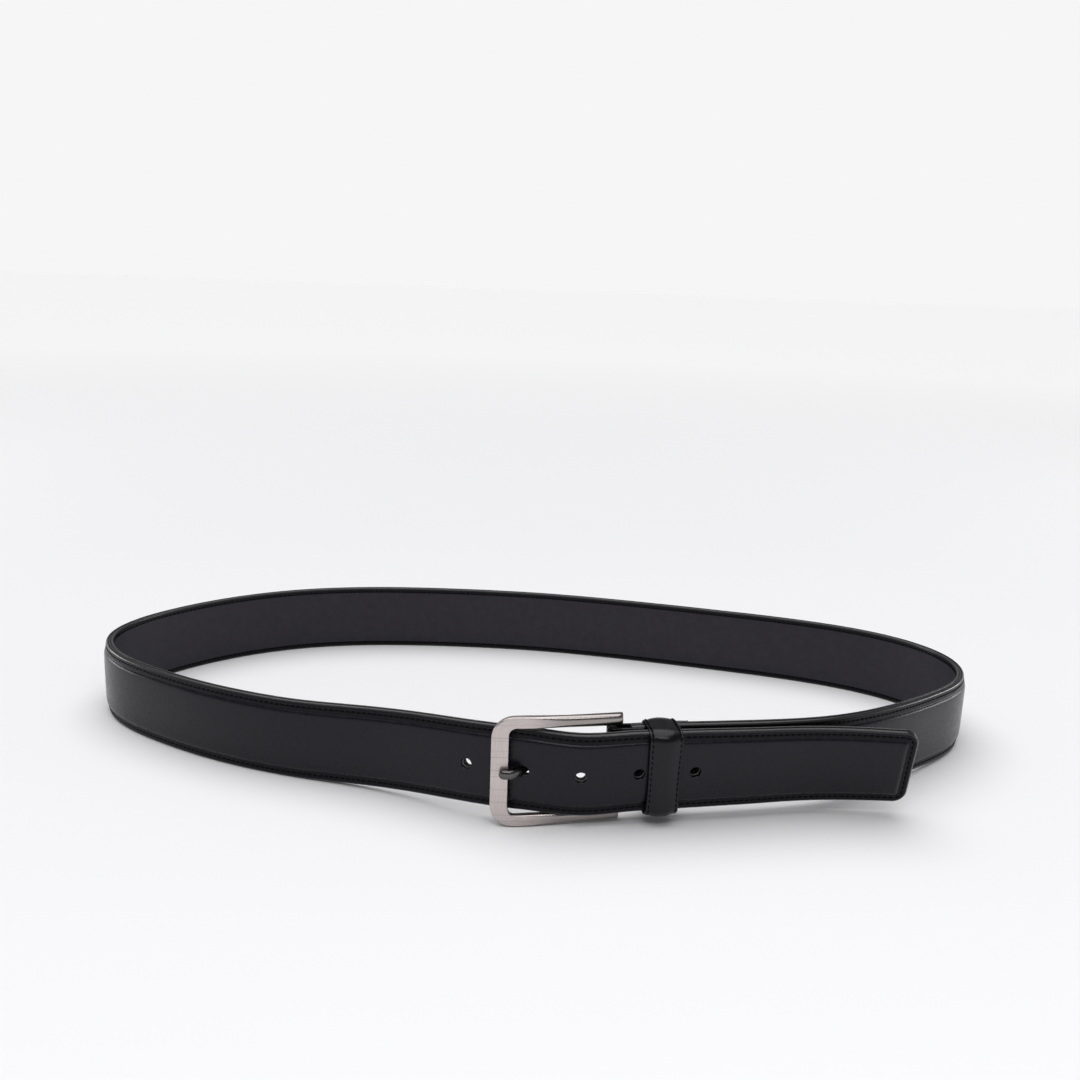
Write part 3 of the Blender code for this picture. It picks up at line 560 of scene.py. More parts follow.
def layer_mesh(name, edge, domed, start, end, tip=False):
    """A layer swept flat from start to end. With tip set it is closed round the free end's outline."""
    loop = layer_loop(edge, domed)
    n, k = len(loop), len(edge)
    if tip:
        path, inward = tip_path()
        end = TIP + (path[-1][0] - 0.02) * MM
    count = max(2, round((end - start) / LAYER_STEP))
    stations = np.linspace(start, end, count + 1)
    points = [(s, y * MM, z * MM) for s in stations for y, z in loop]
    faces = []
    for i in range(count):
        for j in range(n):
            a, b = i * n + j, i * n + (j + 1) % n
            faces.append((a, b, b + n, a + n))
    faces.append(tuple(reversed(range(n))))
    last = count * n
    if not tip:
        faces.append(tuple(last + j for j in range(n)))
        return solid(name, points, faces)
    upper = [last + j for j in range(k)]
    lower = [last + k + ROWS - 2 + j for j in range(k)][::-1]
    rings = [upper]
    between = np.linspace(0, 1, ROWS)[1:-1]
    half = len(path) // 2
    stops = [(p, i) for p, i in zip(path[:half], inward[:half])]
    stops += [(path[half - 1] + (path[half] - path[half - 1]) * t, inward[half - 1]) for t in between]
    stops += [(p, i) for p, i in zip(path[half:], inward[half:])]
    for p, i in stops:
        ring = []
        for d, y in edge:
            x, z = p + i * d
            ring.append(len(points))
            points.append((TIP + x * MM, y * MM, z * MM))
        rings.append(ring)
    rings.append(lower)
    for a, b in zip(rings, rings[1:]):
        for j in range(k - 1):
            faces.append((a[j], a[j + 1], b[j + 1], b[j]))
    inner_rows = [last + k + j for j in range(ROWS - 2)]
    outer_rows = [last + 2 * k + ROWS - 2 + j for j in range(ROWS - 2)][::-1]
    for column, lane in ((outer_rows, 0), (inner_rows, k - 1)):
        near = [upper[lane]] + column + [lower[lane]]
        across = [rings[half + j][lane] for j in range(ROWS)]
        for j in range(ROWS - 1):
            face = [near[j], near[j + 1], across[j + 1], across[j]]
            if j == 0:
                face += [r[lane] for r in rings[half - 1:0:-1]]
            if j == ROWS - 2:
                face = face[:2] + [r[lane] for r in rings[-2:half + ROWS - 1:-1]] + face[2:]
            faces.append(tuple(face if lane else reversed(face)))
    return solid(name, points, faces, weld=0.02 * MM)


CUTTER_REACH, CUTTER_SIDES = 9, 40


def hole_cutter(s, flare_at=None):
    """A punch for one size hole, with an eased mouth at the face whose height is flare_at."""
    r = HOLE_RADIUS / MM
    rings = [(-CUTTER_REACH, r), (CUTTER_REACH, r)]
    if flare_at is not None:
        rings = [
            (-CUTTER_REACH, r + 0.6), (flare_at - 0.2, r + 0.6), (flare_at + 0.02, r + 0.28),
            (flare_at + 0.2, r + 0.08), (flare_at + 0.5, r), (CUTTER_REACH, r),
        ]  # fmt: skip
    points = [
        (s + q * MM * math.cos(a), y * MM, q * MM * math.sin(a))
        for y, q in rings
        for a in around(CUTTER_SIDES)
    ]
    return new_object("punch", solid("punch", points, tube(len(rings), CUTTER_SIDES)))


def to_flat(point):
    """Route distance and inward height of a point given in plan, near the free end's start."""
    near = np.arange(FREE_START - 80 * MM, FREE_START, 0.1 * MM)
    middle, along, inward, _ = ROUTE.axes(near)
    offset = np.array(point) + np.array(CENTRING)[:2] - middle[:, :2]
    k = np.argmin(np.abs((offset * along[:, :2]).sum(1)))
    return np.array((near[k], (offset[k] * inward[k, :2]).sum()))


PRONG_ROUTE = [
    (33.3, -107.5), (22, -108.6), (11, -109.7), (4.2, -110.1), (1.1, -110.7), (-0.9, -112.2),
    (-5.9, -119), (-7.9, -120.5), (-10.2, -120.8), (-13.1, -120.8),
]  # fmt: skip
CRANK = (5, 6)  # the points between which it passes through the strap
PRONG_THICK, PRONG_TALL = 1.6, 2.1
PRONG_HOLE_WIDE, PRONG_HOLE_TALL, PRONG_HOLE_SHIFT = PRONG_THICK + 1.5, PRONG_TALL + 0.6, 0.1


def prong_hole_cutter():
    """The stretched hole that the prong is in, following the prong's slant through the strap."""
    inner, outer = (to_flat(np.array(PRONG_ROUTE[k]) * MM) for k in CRANK)
    direction = (outer - inner) / np.linalg.norm(outer - inner)
    centre = (inner + outer) / 2
    across = np.array((-direction[1], direction[0]))
    points = []
    for reach in (-CUTTER_REACH, CUTTER_REACH):
        for a in around(CUTTER_SIDES):
            wide = PRONG_HOLE_WIDE * math.copysign(abs(math.cos(a)) ** 0.9, math.cos(a))
            s, y = centre + (direction * reach + across * (wide + PRONG_HOLE_SHIFT)) * MM
            points.append((s, y, PRONG_HOLE_TALL * math.sin(a) * MM))
    return new_object("prong_hole", solid("prong_hole", points, tube(2, CUTTER_SIDES)))


def punch_holes(obj, flare_at=None):
    for k in range(HOLES):
        at = TIP - TIP_TO_HOLE - k * HOLE_PITCH
        boolean(obj, prong_hole_cutter() if k == PRONG_HOLE else hole_cutter(at, flare_at))


def strap_layer(name, edge, domed, finish, flare_at=None, margin=0.0):
    """A layer of the strap: the main piece on the strap body, and the free end that carries on from it."""
    made = []
    for tip, end_name, node in ((False, "_strap", name), (True, "_free_end", "free_end_" + name)):
        start, end = (CUT, TIP) if tip else (ZERO + STRAP_START, CUT)
        mesh = layer_mesh(name + end_name, edge, domed, start, end, tip)
        obj = new_object(name + end_name, mesh, finish, EDGE, MARGIN)
        if not tip:
            punch_holes(obj, flare_at)
        for face in obj.data.polygons:
            x, _, z = face.center
            inset = edge_distance(x, z) if tip else HALF_WIDTH - abs(z)
            # Index 2 darkens the margins: partly dyed border, partly painted shade.
            face.material_index = 1 if inset < PAINTED else 2 if inset < margin else 0
        bend(obj.data)
        made.append(label(obj, node))
    attach(*made)


def edge_distance(s, z):
    """Distance in from the free end's outline, near its tip."""
    slope = TIP_SLANT / (2 * HALF_WIDTH)
    end = TIP - slope * (HALF_WIDTH - z)
    across = (end - s) / math.hypot(1, slope)
    side = HALF_WIDTH - abs(z)
    if across < TIP_RADIUS and side < TIP_RADIUS:
        return TIP_RADIUS - math.hypot(TIP_RADIUS - across, TIP_RADIUS - side)
    return min(across, side)


def attach(strap_piece, free_piece):
    """Fixes one piece to the strap, and bakes the other's placement into its mesh."""
    if strap_piece:
        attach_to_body(strap_piece, "strap")
    start, end = (tuple(ROUTE.place([(s, 0, 0)])[0]) for s in FLEX)
    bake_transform(free_piece)


PADDING_HEIGHTS, PADDING_HALF_WIDTH, PADDING_TIP_GAP = (-1.35, -0.75), 11.4, 8 * MM


def padding():
    """The felt between face leather and core, hidden by them."""
    (low, high), half = PADDING_HEIGHTS, PADDING_HALF_WIDTH
    section = [(low, half), (high, half), (high, -half), (low, -half)]
    made = []
    for name, node, start, end in (
        ("padding_strap", "padding", ZERO + STRAP_START + MM, CUT),
        ("padding_free_end", "free_end_padding", CUT, TIP - PADDING_TIP_GAP),
    ):
        stations = np.linspace(start, end, round((end - start) / (4 * MM)) + 1)
        points = [(s, y * MM, z * MM) for s in stations for y, z in section]
        obj = new_object(name, solid(name, points, tube(len(stations), len(section))), FELT)
        if node == "padding":
            punch_holes(obj)
        bend(obj.data)
        made.append(label(obj, node))
    attach(*made)


# ---------------------------------------------------------------- stitching

STITCH_PITCH, STITCH_LENGTH, STITCH_RADIUS = 2.75 * MM, 2.2 * MM, 0.36 * MM
STITCH_SLANT = math.radians(7)
STITCH_SIDES = 7
THREAD_ANGLE = 60  # faces of a stitch that meet more sharply than this show an edge
SEAM = 2.5 * MM  # from the strap's edge to its stitches
FACE_SEAM_HEIGHT, LINING_SEAM_HEIGHT = -1.68 * MM, 1.9 * MM


def stitch_template(length, radius):
    """One stitch lying along X, dipping into its holes at both ends: points and faces."""
    n = STITCH_SIDES
    half = [(0, -0.05, 1.02), (0.25, 0.0, 1.0), (0.43, 0.15, 0.85), (0.5, 0.35, 0.55)]
    rings = [(-along, sink, size) for along, sink, size in half[:0:-1]] + half
    points = [
        (along * length, radius * (size * math.cos(a) * 0.8 + 2 * sink), size * radius * math.sin(a))
        for along, sink, size in rings
        for a in around(n)
    ]
    return np.array(points), tube(len(rings), n)


def stitches(name, places, height, side, node, body=None):
    """One bent piece of stitches, at flat places (s, z, heading) on the face at that height.
    Side -1 is the outer face."""
    template, faces = stitch_template(STITCH_LENGTH, STITCH_RADIUS)
    x, y, u = (template * (1, -side, 1)).T
    all_points, all_faces = [], []
    for s, z, heading in places:
        c, w = math.cos(heading + STITCH_SLANT), math.sin(heading + STITCH_SLANT)
        base = len(all_points) * len(template)
        all_points.append(np.column_stack([s + c * x - w * u, height + y, z + w * x + c * u]))
        all_faces += [tuple(base + i for i in f) for f in faces]
    mesh = solid(name, np.vstack(all_points), all_faces)
    bend(mesh, THREAD_ANGLE)
    return label(new_object(name, mesh, THREAD), node, body)


def seam_run(start, end, z):
    """Stitch places in a straight row."""
    count = max(1, round((end - start) / STITCH_PITCH))
    pitch = (end - start) / count
    return [(start + pitch * (i + 0.5), z, 0.0) for i in range(count)]


def tip_seam_run():
    """Stitch places round the free end: along its upper side, across the tip and back."""
    path, inward = tip_path(24)
    inset = SEAM / MM
    line = [np.array(((CUT - TIP) / MM, HALF_WIDTH / MM - inset))]
    line += [p + i * inset for p, i in zip(path, inward)]
    line += [np.array(((CUT - TIP) / MM, inset - HALF_WIDTH / MM))]
    line = np.array(line)
    at = distances(line)
    count = round(at[-1] / (STITCH_PITCH / MM))
    places = []
    for k in range(count):
        d = (k + 0.5) * at[-1] / count
        x, z = (np.interp(d, at, line[:, c]) for c in (0, 1))
        ax, az = (np.interp(d + 0.3, at, line[:, c]) - np.interp(d - 0.3, at, line[:, c]) for c in (0, 1))
        places.append((TIP + x * MM, z * MM, math.atan2(az, ax)))
    return places


def strap_stitching():
    z = HALF_WIDTH - SEAM
    for face, height, side, start in (
        ("face", FACE_SEAM_HEIGHT, -1, ZERO + STRAP_START + 5 * MM),
        ("lining", LINING_SEAM_HEIGHT, 1, ZERO + FOLD_END + 1.5 * MM),
    ):
        for edge, level in (("upper", z), ("lower", -z)):
            node = f"{face}_stitching_{edge}"
            stitches(node + "_strap", seam_run(start, CUT, level), height, side, node, "strap")
        name, node = face + "_stitching_free_end", f"free_end_{face}_stitching"
        attach(None, stitches(name, tip_seam_run(), height, side, node))


# ---------------------------------------------------------------- fold round the pivot bar


FOLD_OUTER, FOLD_INNER, FOLD_LEG, FOLD_EDGE = 2.95, 1.72, 2.12, 0.45
FOLD_STITCH_PITCH, FOLD_SEAM_START = 2.6, 10.0
SLOT_HALF_HEIGHT, SLOT_REACH = 3.1 * MM, 4.6 * MM


def fold():
    """Face leather turned round the bar and sewn down on the inside, with the prong's slot."""
    thick, radius = FOLD_OUTER - FOLD_INNER, (FOLD_OUTER + FOLD_INNER) / 2
    x0, end, half = ZERO / MM, FOLD_END / MM, FOLD_HALF_HEIGHT / MM
    middle = [(x0 + x, -radius) for x in (13, 11.5, 10, 8, 6, 4, 2)]
    for a in range(-90, -271, -9):
        middle.append((x0 + radius * math.cos(math.radians(a)), radius * math.sin(math.radians(a))))
    middle += [(x0 + x, FOLD_LEG + thick / 2) for x in (2, 4, 5.5, 7, 8.5, *np.linspace(10, end, 14))]
    middle = np.array(middle)
    section = []
    for a in np.radians(np.linspace(90, -90, 7)):
        section.append((thick / 2 * math.sin(a), half - FOLD_EDGE + FOLD_EDGE * math.cos(a)))
    heights = np.linspace(half - 1.2, 1.2 - half, 17)
    loop = section + [(-thick / 2, z) for z in heights] + [(y, -z) for y, z in reversed(section)]
    loop += [(thick / 2, z) for z in heights[::-1]]
    points = []
    for i, (m, q) in enumerate(zip(middle, normals(middle))):
        for y, z in loop:
            crease = 0.10 * math.sin(1.9 * i + 0.35 * z) * math.exp(-((abs(z) - half) / 5) ** 2)
            crease += 0.05 * math.sin(0.9 * z + 2.3) * (1 if 6 < i < 30 else 0)
            x, inwards = m + q * (y + crease)
            points.append((x * MM, inwards * MM, z * MM))
    obj = new_object("buckle_fold", solid("buckle_fold", points, tube(len(middle), len(loop))), FACE)
    boolean(obj, fold_slot())
    bend(obj.data)
    label(obj, "face_leather", "strap")
    places = []
    for x in np.arange(FOLD_SEAM_START + 0.8, end - 1.2, FOLD_STITCH_PITCH):
        places += [((x0 + x) * MM, side * (half - 1.8) * MM, 0.0) for side in (1, -1)]
    for z in np.arange(1.8 - half, half - 1.5, FOLD_STITCH_PITCH):
        places += [((x0 + x) * MM, z * MM, math.pi / 2) for x in (FOLD_SEAM_START, end - 1.6)]
    height = (FOLD_LEG + thick + 0.02) * MM
    stitches("fold_stitching_threads", places, height, 1, "fold_stitching", "strap")


def fold_slot():
    """Cutter for the slot that the prong swings in, with rounded ends."""
    outline = []
    for centre, start in ((ZERO + SLOT_REACH, 90), (ZERO - 8 * MM, 270)):
        for a in np.radians(np.linspace(start, start - 180, 13)):
            outline.append((centre + SLOT_HALF_HEIGHT * math.cos(a), SLOT_HALF_HEIGHT * math.sin(a)))
    points = [(x, y, z) for y in (-8 * MM, 8 * MM) for x, z in outline]
    return new_object("slot_shape", solid("slot_shape", points, tube(2, len(outline))))


# ---------------------------------------------------------------- buckle

FRAME_HALF_HEIGHT, FRAME_END_HALF_HEIGHT, WINDOW_HALF_HEIGHT = 25.05, 24.5, 20.0
FRAME_LEFT, FRONT_BAR_RIGHT = -16.7, -9.1
ARM_END = PIVOT.x / MM + 3.6
FRONT_BAR_Y, ARM_END_Y = (-118.9, -116.1), (-109.9, -104.6)
OUTER_CORNER, INNER_CORNER = 10.0, 3.4
ARM_CAP = ((0.93, 0.22), (0.8, 0.36), (0.6, 0.42))  # size and reach of the rings that close an arm


def frame_depth(x):
    """Front and back of the frame at x: the arms bow back and thicken towards the bar."""
    t = min(max((x - FRONT_BAR_RIGHT) / (ARM_END - FRONT_BAR_RIGHT), 0), 1)
    return (
        FRONT_BAR_Y[0] + (ARM_END_Y[0] - FRONT_BAR_Y[0]) * t**1.4,
        FRONT_BAR_Y[1] + (ARM_END_Y[1] - FRONT_BAR_Y[1]) * t**1.2,
    )


def frame_stations():
    """Matching points on the frame's outer and inner outlines, from the upper arm's end to its middle."""
    stations = []
    arc_start = FRAME_LEFT + OUTER_CORNER
    inner_start = FRONT_BAR_RIGHT + INNER_CORNER
    for t in np.linspace(0, 1, 26):
        x_outer = ARM_END + (arc_start - ARM_END) * t
        x_inner = ARM_END + (inner_start - ARM_END) * t
        top = FRAME_END_HALF_HEIGHT + (FRAME_HALF_HEIGHT - FRAME_END_HALF_HEIGHT) * min(1, t * 1.02)
        stations.append(((x_outer, top), (x_inner, WINDOW_HALF_HEIGHT - 0.8 * (1 - t)), t))
    for a in np.linspace(90, 180, 14)[1:]:
        c, s = math.cos(math.radians(a)), math.sin(math.radians(a))
        outer = (arc_start + OUTER_CORNER * c, FRAME_HALF_HEIGHT - OUTER_CORNER + OUTER_CORNER * s)
        inner = (inner_start + INNER_CORNER * c, WINDOW_HALF_HEIGHT - INNER_CORNER + INNER_CORNER * s)
        stations.append((outer, inner, 1.0))
    start_outer, start_inner = stations[-1][0][1], stations[-1][1][1]
    for t in np.linspace(0, 1, 9)[1:]:
        stations.append(((FRAME_LEFT, start_outer * (1 - t)), (FRONT_BAR_RIGHT, start_inner * (1 - t)), 1.0))
    return stations


def frame_ring(outer, inner, t):
    """The frame's section between two points: its outline, the outline laid flat, and its polish."""
    middle, width = (outer + inner) / 2, float(np.linalg.norm(inner - outer))
    across = (inner - outer) / width
    front, back = frame_depth(middle[0])
    polish = 1 - smooth_step(t, 0.5, 0.95)
    radius = min(0.5 + 1.5 * polish, width / 2 - 0.25, (back - front) / 2 - 0.2)
    ring, flat = [], []
    for k, (sx, sy) in enumerate([(-1, -1), (1, -1), (1, 1), (-1, 1)]):
        for a in np.radians(180 + 90 * k + np.linspace(0, 90, 6)):
            u = sx * (width / 2 - radius) + radius * math.cos(a)
            v = sy * ((back - front) / 2 - radius) + radius * math.sin(a)
            x, z = middle + across * u
            ring.append((x, (front + back) / 2 + v, z))
            flat.append((0.0, u, v))
    return ring, flat, float(polish)


def arm_cap(ring, flat, way):
    """The shrinking rings that round off an arm's end."""
    centre = ring.mean(0)
    rings = [centre + (ring - centre) * size + np.array((ahead, 0, 0)) for size, ahead in ARM_CAP]
    return rings, [flat + np.array((way * ahead, 0, 0)) for _, ahead in ARM_CAP]


def buckle_frame():
    """The frame in one sweep, from the upper arm's end round the front to the lower arm's end."""
    upper = frame_stations()
    whole = upper + [((o[0], -o[1]), (i[0], -i[1]), t) for o, i, t in reversed(upper[:-1])]
    outer, inner = (np.array([station[k] for station in whole]) for k in (0, 1))
    sections = [frame_ring(o, i, station[2]) for o, i, station in zip(outer, inner, whole)]
    rings, flats = (np.array([section[k] for section in sections]) for k in (0, 1))
    flats[:, :, 0] += distances((outer + inner) / 2)[:, None]
    head, head_flat = arm_cap(rings[0], flats[0], -1)
    tail, tail_flat = arm_cap(rings[-1], flats[-1], 1)
    rings = np.array(head[::-1] + list(rings) + tail)
    flats = np.array(head_flat[::-1] + list(flats) + tail_flat)
    count, n = rings.shape[:2]
    points = rings.reshape(-1, 3) * MM + np.array((0, 0, RAISED_Z)) + np.array(CENTRING)
    mesh = solid("brushed_buckle_frame", points, tube(count, n))
    remember_flat(mesh, flats.reshape(-1, 3) * MM)
    polish = [section[2] for section in sections]
    polish = polish[:1] * len(ARM_CAP) + polish + polish[-1:] * len(ARM_CAP)
    mesh.attributes.new("polish", "FLOAT", "POINT").data.foreach_set("value", np.repeat(polish, n))
    smooth(mesh, 50)
    label(new_object(mesh.name, mesh, METAL), "buckle_frame", "frame")


PRONG_TIP, PRONG_STEP, PRONG_SIDES = 2.6, 0.45, 24
EYE_RADIUS, EYE_HALF_THICK, EYE_HALF_HEIGHT, EYE_TURNS, EYE_SIDES = 2.33, 0.62, 2.3, 40, 20
BORE_RADIUS, BORE_DEPTH = 1.66 * MM, 12 * MM


def prong_bar(lift):
    """An oval bar with a blunt rounded tip, bent through the strap and slimmer where the strap hides it."""
    line = cubic_spline(np.array(PRONG_ROUTE), (-1, 0), (-1, 0), PRONG_STEP)
    at = distances(line)
    points = []
    for m, q, left in zip(line, normals(line), at[-1] - at):
        size = math.sqrt(max(1 - (1 - min(left / PRONG_TIP, 1)) ** 2.4, 0.0004))
        taper = 1 - 0.26 * smooth_step(left, 9, 20)
        thick = PRONG_THICK * taper * (0.45 + 0.55 * size)
        for a in around(PRONG_SIDES):
            c, s = squarer(a, 0.86)
            x, y = m + q * c * thick * size
            points.append((x, y, PRONG_TALL * taper * size * s))
    return solid("polished_prong", np.array(points) * MM + lift, tube(len(line), PRONG_SIDES))


def prong_eye(lift):
    """The loop round the pivot bar."""
    x, y = PIVOT.x / MM, PIVOT.y / MM
    section = []
    for a in around(EYE_SIDES):
        c, s = squarer(a, 0.6)
        section.append((EYE_RADIUS + EYE_HALF_THICK * c, EYE_HALF_HEIGHT * s))
    points = [(x + r * math.cos(a), y + r * math.sin(a), z) for a in around(EYE_TURNS) for r, z in section]
    return solid("eye", np.array(points) * MM + lift, tube(EYE_TURNS, EYE_SIDES, closed=True))


def prong():
    """The tongue: a bar on an eye, bored for the pivot bar."""
    lift = np.array((0, 0, RAISED_Z)) + np.array(CENTRING)
    obj = new_object("polished_prong", prong_bar(lift), DARK_METAL)
    boolean(obj, new_object("eye", prong_eye(lift)), "UNION")
    bore = bmesh.new()
    bmesh.ops.create_cone(
        bore, cap_ends=True, segments=EYE_TURNS, radius1=BORE_RADIUS, radius2=BORE_RADIUS, depth=BORE_DEPTH
    )
    bore.transform(Matrix.Translation(PIVOT + CENTRING))
    bore_mesh = bpy.data.meshes.new("bore")
    bore.to_mesh(bore_mesh)
    bore.free()
    boolean(obj, new_object("bore", bore_mesh))
    remember_flat(obj.data)
    smooth(obj.data, 45)
    label(obj, "prong", "prong")


def carried_over():
    """CAD nodes that keep their shape and get a finish."""
    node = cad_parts["pivot_bar"]
    remember_flat(node.data)
    node.data.materials.clear()
    node.data.materials.append(BAR_METAL)
    smooth(node.data, 40)


# ---------------------------------------------------------------- keeper

KEEPER_CENTRE, KEEPER_HALF_WIDTH = 20.8, 7.2
KEEPER_INNER, KEEPER_HALF_HEIGHT = (-11.0, 5.2), 19.3
KEEPER_CORNER, KEEPER_STEP = 4.0, 0.9
KEEPER_BASE = 0.56  # from the keeper's inside to the underside of its leather
KEEPER_CROWN = [
    (0.0, 2.15), (1.0, 2.1), (2.0, 1.95), (3.0, 1.7), (3.9, 1.38), (4.6, 1.07), (5.15, 0.82), (5.55, 0.62),
    (5.85, 0.48), (6.05, 0.34), (6.25, 0.4), (6.45, 0.5), (6.7, 0.54), (6.9, 0.47), (7.05, 0.36),
    (7.15, 0.2), (7.08, 0.05), (6.9, -0.02),
]  # fmt: skip
CROWN_EASE = {True: 0.72, False: 0.5}  # how much the crown sinks over the strap's upper and lower edges
BUTT_GAP = 0.2
KEEPER_SEAM, KEEPER_SEAM_HEIGHT = 6.05, 0.96
KEEPER_STITCH_PITCH, KEEPER_STITCH_LENGTH, KEEPER_SEAM_END = 2.6, 2.1, 5.0


def keeper_place():
    """The keeper's own axes, set square to the doubled strap and leaning with it."""
    buckle_end, free_end = KEEPER_CENTRE * MM + ZERO, KEEPER_CENTRE * MM + FREE_START
    lean = float(ROUTE.lean(buckle_end) + ROUTE.lean(free_end)) / 2
    turned = Matrix.Rotation(RUN_ANGLE, 4, "Z") @ Matrix.Rotation(lean, 4, "X")
    return Matrix.Translation(run_point(KEEPER_CENTRE * MM) + CENTRING) @ turned


def keeper_line(grown):
    """Points round the keeper's section from the middle of its back, with outward directions."""
    y0, y1 = KEEPER_INNER
    z, r = KEEPER_HALF_HEIGHT, KEEPER_CORNER
    points, out = [np.array((y1 + grown, 0.0))], [(1.0, 0.0)]

    def straight(end, direction):
        start = points[-1]
        count = max(1, round(np.linalg.norm(end - start) / KEEPER_STEP))
        for t in np.arange(1, count) / count:
            points.append(start + (end - start) * t)
            out.append(direction)

    for k, (cy, cz) in enumerate([(y1, z), (y0, z), (y0, -z), (y1, -z)]):
        centre = np.array((cy - math.copysign(r, cy - (y0 + y1) / 2), cz - math.copysign(r, cz)))
        arms = [(math.cos(a), math.sin(a)) for a in np.radians(90 * k + np.linspace(0, 90, 9))]
        straight(centre + (r + grown) * np.array(arms[0]), arms[0])
        for arm in arms:
            points.append(centre + (r + grown) * np.array(arm))
            out.append(arm)
    straight(points[0], (1.0, 0.0))
    return np.array(points), np.array(out)


def keeper_piece(name, points, faces, flat, angle, finish, node):
    """A piece made in the keeper's own axes, in millimetres, set in place on the keeper's body."""
    mesh = solid(name, np.array(points) * MM, faces)
    remember_flat(mesh, flat)
    mesh.transform(keeper_place())
    smooth(mesh, angle)
    label(new_object(name, mesh, finish), node, "keeper")


def keeper_band(name, base, section, finish, butt, node):
    """Sweeps a section of (along the strap, outward) points round the keeper. With butt set, its ends meet
    at the middle of the back."""
    line, out = keeper_line(base)
    points, flat = [], []
    for m, q, at in zip(line, out, distances(line)):
        uneven = 1 + 0.04 * (0.12 * math.sin(at * 0.31 + 0.6) + 0.08 * math.sin(at * 0.83))
        for x, u in section:
            wave = 0.16 * math.sin(at * 0.17 + 1.1) * (1 if x > 0 else -1) * (abs(x) > 5)
            y, z = m + q * u * uneven * (1 - CROWN_EASE[bool(q[1] > 0)] * q[1] ** 2)
            points.append((x + wave, y, z + (BUTT_GAP if butt and at == 0 else 0)))
            flat.append((at, x, u))
    faces = tube(len(line), len(section), closed=not butt)
    keeper_piece(name, points, faces, np.array(flat) * MM, 50, finish, node)


def keeper_stitching(side, x):
    """A row of stitches round the keeper, beside one of its edges."""
    line, _ = keeper_line(KEEPER_SEAM_HEIGHT)
    ring = np.vstack([line, line[:1]])
    gaps = distances(ring)
    run = gaps[-1] - 2 * KEEPER_SEAM_END
    count = round(run / KEEPER_STITCH_PITCH)
    template, template_faces = stitch_template(KEEPER_STITCH_LENGTH, STITCH_RADIUS / MM)
    points, faces = [], []
    for k in range(count):
        at = KEEPER_SEAM_END + (k + 0.5) * run / count
        m, ahead, behind = (
            np.array([np.interp(d, gaps, ring[:, c]) for c in (0, 1)]) for d in (at, at + 0.4, at - 0.4)
        )
        along = (ahead - behind) / np.linalg.norm(ahead - behind)
        outwards = np.array((along[1], -along[0]))
        faces += [tuple(len(points) + i for i in f) for f in template_faces]
        for tx, ty, tz in template:
            y, z = m + along * tx - outwards * (ty + 0.1)
            points.append((x + tz + 0.12 * tx, y, z))
    name = f"keeper_stitching_{side}"
    keeper_piece(name + "_threads", points, faces, None, THREAD_ANGLE, THREAD, name)


def keeper():
    """The loop that holds the free end: a lined, stitched leather band with a padded crown."""
    w = KEEPER_HALF_WIDTH
    lining = [(w - 0.5, 0.5), (w - 0.2, 0.38), (w - 0.2, 0.08), (w - 0.5, 0.0)]
    lining += [(-x, u) for x, u in reversed(lining)]
    keeper_band("keeper_lining_band", 0, lining, LINING, False, "keeper_lining")
    leather = KEEPER_CROWN + [(-x, u) for x, u in reversed(KEEPER_CROWN[1:])]
    keeper_band("keeper_leather_band", KEEPER_BASE, leather, KEEPER, True, "keeper_leather")
    keeper_stitching("left", -KEEPER_SEAM)
    keeper_stitching("right", KEEPER_SEAM)
    keeper_staple()


def keeper_staple():
    """The wire staple that joins the keeper's ends: a rounded crown with its legs turned into the leather."""
    level = KEEPER_INNER[1] + KEEPER_BASE + 2.1
    half = [(0, 0.38), (2.4, 0.35), (3.1, 0.22), (3.4, -0.2), (3.4, -1.2)]
    line = np.array([(-x, level + y) for x, y in half[:0:-1]] + [(x, level + y) for x, y in half])
    sides, points = 10, []
    for m, q in zip(line, normals(line)):
        for a in around(sides):
            x, y = m + q * 0.28 * math.cos(a)
            points.append((x, y, 0.75 * math.sin(a)))
    faces = tube(len(line), sides)
    keeper_piece("keeper_wire_staple", points, faces, None, 50, BAR_METAL, "keeper_staple")


# ---------------------------------------------------------------- room, light and camera


FLOOR_REACH, FLOOR_FADE = 40, (0.5, 3.0)
SUN_POWER, SUN_ANGLE, SUN_AIM = 2.42, math.radians(75), (0.10, -0.14, -1)
SEEN_WHITE, HORIZON, CEILING = (0.92, 0.92, 0.92), (0.8, 0.8, 0.82), (0.17, 0.17, 0.175)
AREA_LIGHTS = (  # name, place, target, size and power
    ("left_softbox", (-1.5, 0.35, 0.16), (-0.15, 0, 0.03), (0.7, 0.25), 3.2),
    ("front_strip", (0.1, -0.8, 0.95), (0.03, -0.1, 0.03), (0.9, 0.14), 2.4),
    ("right_softbox", (1.5, 0.35, 0.16), (0.15, 0, 0.03), (0.7, 0.25), 3.6),
)
CAMERA_PLACE, CAMERA_LENS = (0.0013, -0.5542, 0.2287), 36.67
CAMERA_TILT, CAMERA_ROLL = math.radians(90 - 13.08), math.radians(2.035)


def floor_paint():
    """Matt white, a little whiter far off so that the floor meets the background evenly."""
    m = Nodes("studio_white")
    reach = m.add("VectorMath", operation="LENGTH")
    m.link(m.add("TexCoord").outputs["Object"], reach.inputs[0])
    far = m.add("MapRange")
    far.inputs["From Min"].default_value, far.inputs["From Max"].default_value = FLOOR_FADE
    m.link(reach.outputs["Value"], far.inputs["Value"])
    color = m.ramp(far.outputs["Result"], (0.86, 0.86, 0.87), (0.98, 0.98, 0.98), 0, 1)
    for name, value in (("Base Color", color), ("Roughness", 0.85), ("Specular IOR Level", 0.2)):
        m.put(m.shader.inputs[name], value)
    return m.material


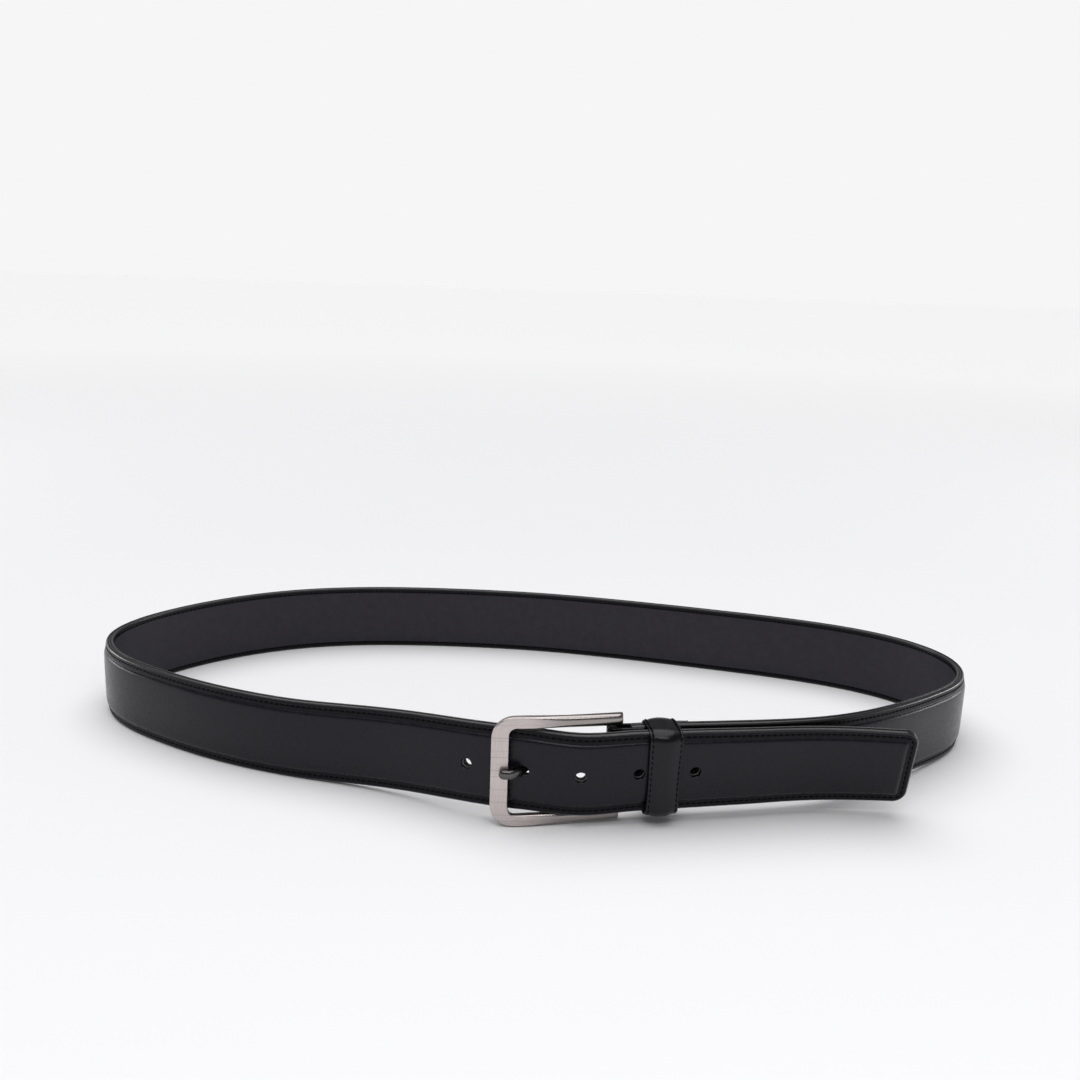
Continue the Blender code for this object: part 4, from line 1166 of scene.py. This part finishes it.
def room():
    """A pale floor that runs out of sight."""
    corners = [(x * FLOOR_REACH, y * FLOOR_REACH, 0) for x, y in ((-1, -1), (1, -1), (1, 1), (-1, 1))]
    floor = mesh_from("studio_floor", corners, [(0, 1, 2, 3)])
    new_object("studio_floor", floor, floor_paint())


def light(name, kind, aim, power):
    """A lamp that points along a direction, at the origin until it is placed."""
    data = bpy.data.lights.new(name, kind)
    data.energy = power
    obj = bpy.data.objects.new(name, data)
    bpy.context.scene.collection.objects.link(obj)
    obj.rotation_euler = aim.to_track_quat("-Z", "Y").to_euler()
    return obj


def studio_world():
    """White to the eye; to the belt, a bright horizon under a dimmer ceiling, so that edges read."""
    world = bpy.data.worlds.new("studio")
    bpy.context.scene.world = world
    world.use_nodes = True
    nodes, links = world.node_tree.nodes, world.node_tree.links
    seen, felt = nodes["Background"], nodes.new("ShaderNodeBackground")
    seen.inputs["Color"].default_value = (*SEEN_WHITE, 1)
    place, split, ramp = (nodes.new("ShaderNode" + k) for k in ("TexCoord", "SeparateXYZ", "ValToRGB"))
    links.new(place.outputs["Generated"], split.inputs["Vector"])
    links.new(split.outputs["Z"], ramp.inputs["Fac"])
    for stop, height, color in zip(ramp.color_ramp.elements, (0.02, 0.3), (HORIZON, CEILING)):
        stop.position, stop.color = height, (*color, 1)
    links.new(ramp.outputs["Color"], felt.inputs["Color"])
    path, mix = nodes.new("ShaderNodeLightPath"), nodes.new("ShaderNodeMixShader")
    links.new(path.outputs["Is Camera Ray"], mix.inputs["Fac"])
    links.new(felt.outputs["Background"], mix.inputs[1])
    links.new(seen.outputs["Background"], mix.inputs[2])
    links.new(mix.outputs["Shader"], nodes["World Output"].inputs["Surface"])
    bpy.context.scene.view_settings.view_transform = "Standard"


def lights():
    """The world, a wide soft light over and a little behind the belt, and three softboxes for its edges."""
    studio_world()
    light("overhead", "SUN", Vector(SUN_AIM), SUN_POWER).data.angle = SUN_ANGLE
    for name, place, target, size, power in AREA_LIGHTS:
        lamp = light(name, "AREA", Vector(target) - Vector(place), power)
        lamp.location = place
        lamp.data.shape = "RECTANGLE"
        lamp.data.size, lamp.data.size_y = size


def camera():
    """Set in front of the buckle and a little above, with a slight roll."""
    data = bpy.data.cameras.new("camera")
    data.sensor_width = 36
    data.lens = CAMERA_LENS
    obj = bpy.data.objects.new("camera", data)
    bpy.context.scene.collection.objects.link(obj)
    turned = Matrix.Rotation(CAMERA_TILT, 4, "X") @ Matrix.Rotation(CAMERA_ROLL, 4, "Z")
    obj.matrix_world = Matrix.Translation(CAMERA_PLACE) @ turned
    bpy.context.scene.camera = obj


# ---------------------------------------------------------------- the whole belt


def main():
    strap_layer("face_leather", FACE_EDGE, True, FACE, FACE_MOUTH, FACE_MARGIN)
    strap_layer("core", CORE_EDGE, False, FIBRE)
    strap_layer("lining", LINING_EDGE, False, LINING, margin=LINING_MARGIN)
    padding()
    strap_stitching()
    fold()
    buckle_frame()
    prong()
    carried_over()
    keeper()
    room()
    lights()
    camera()


main()
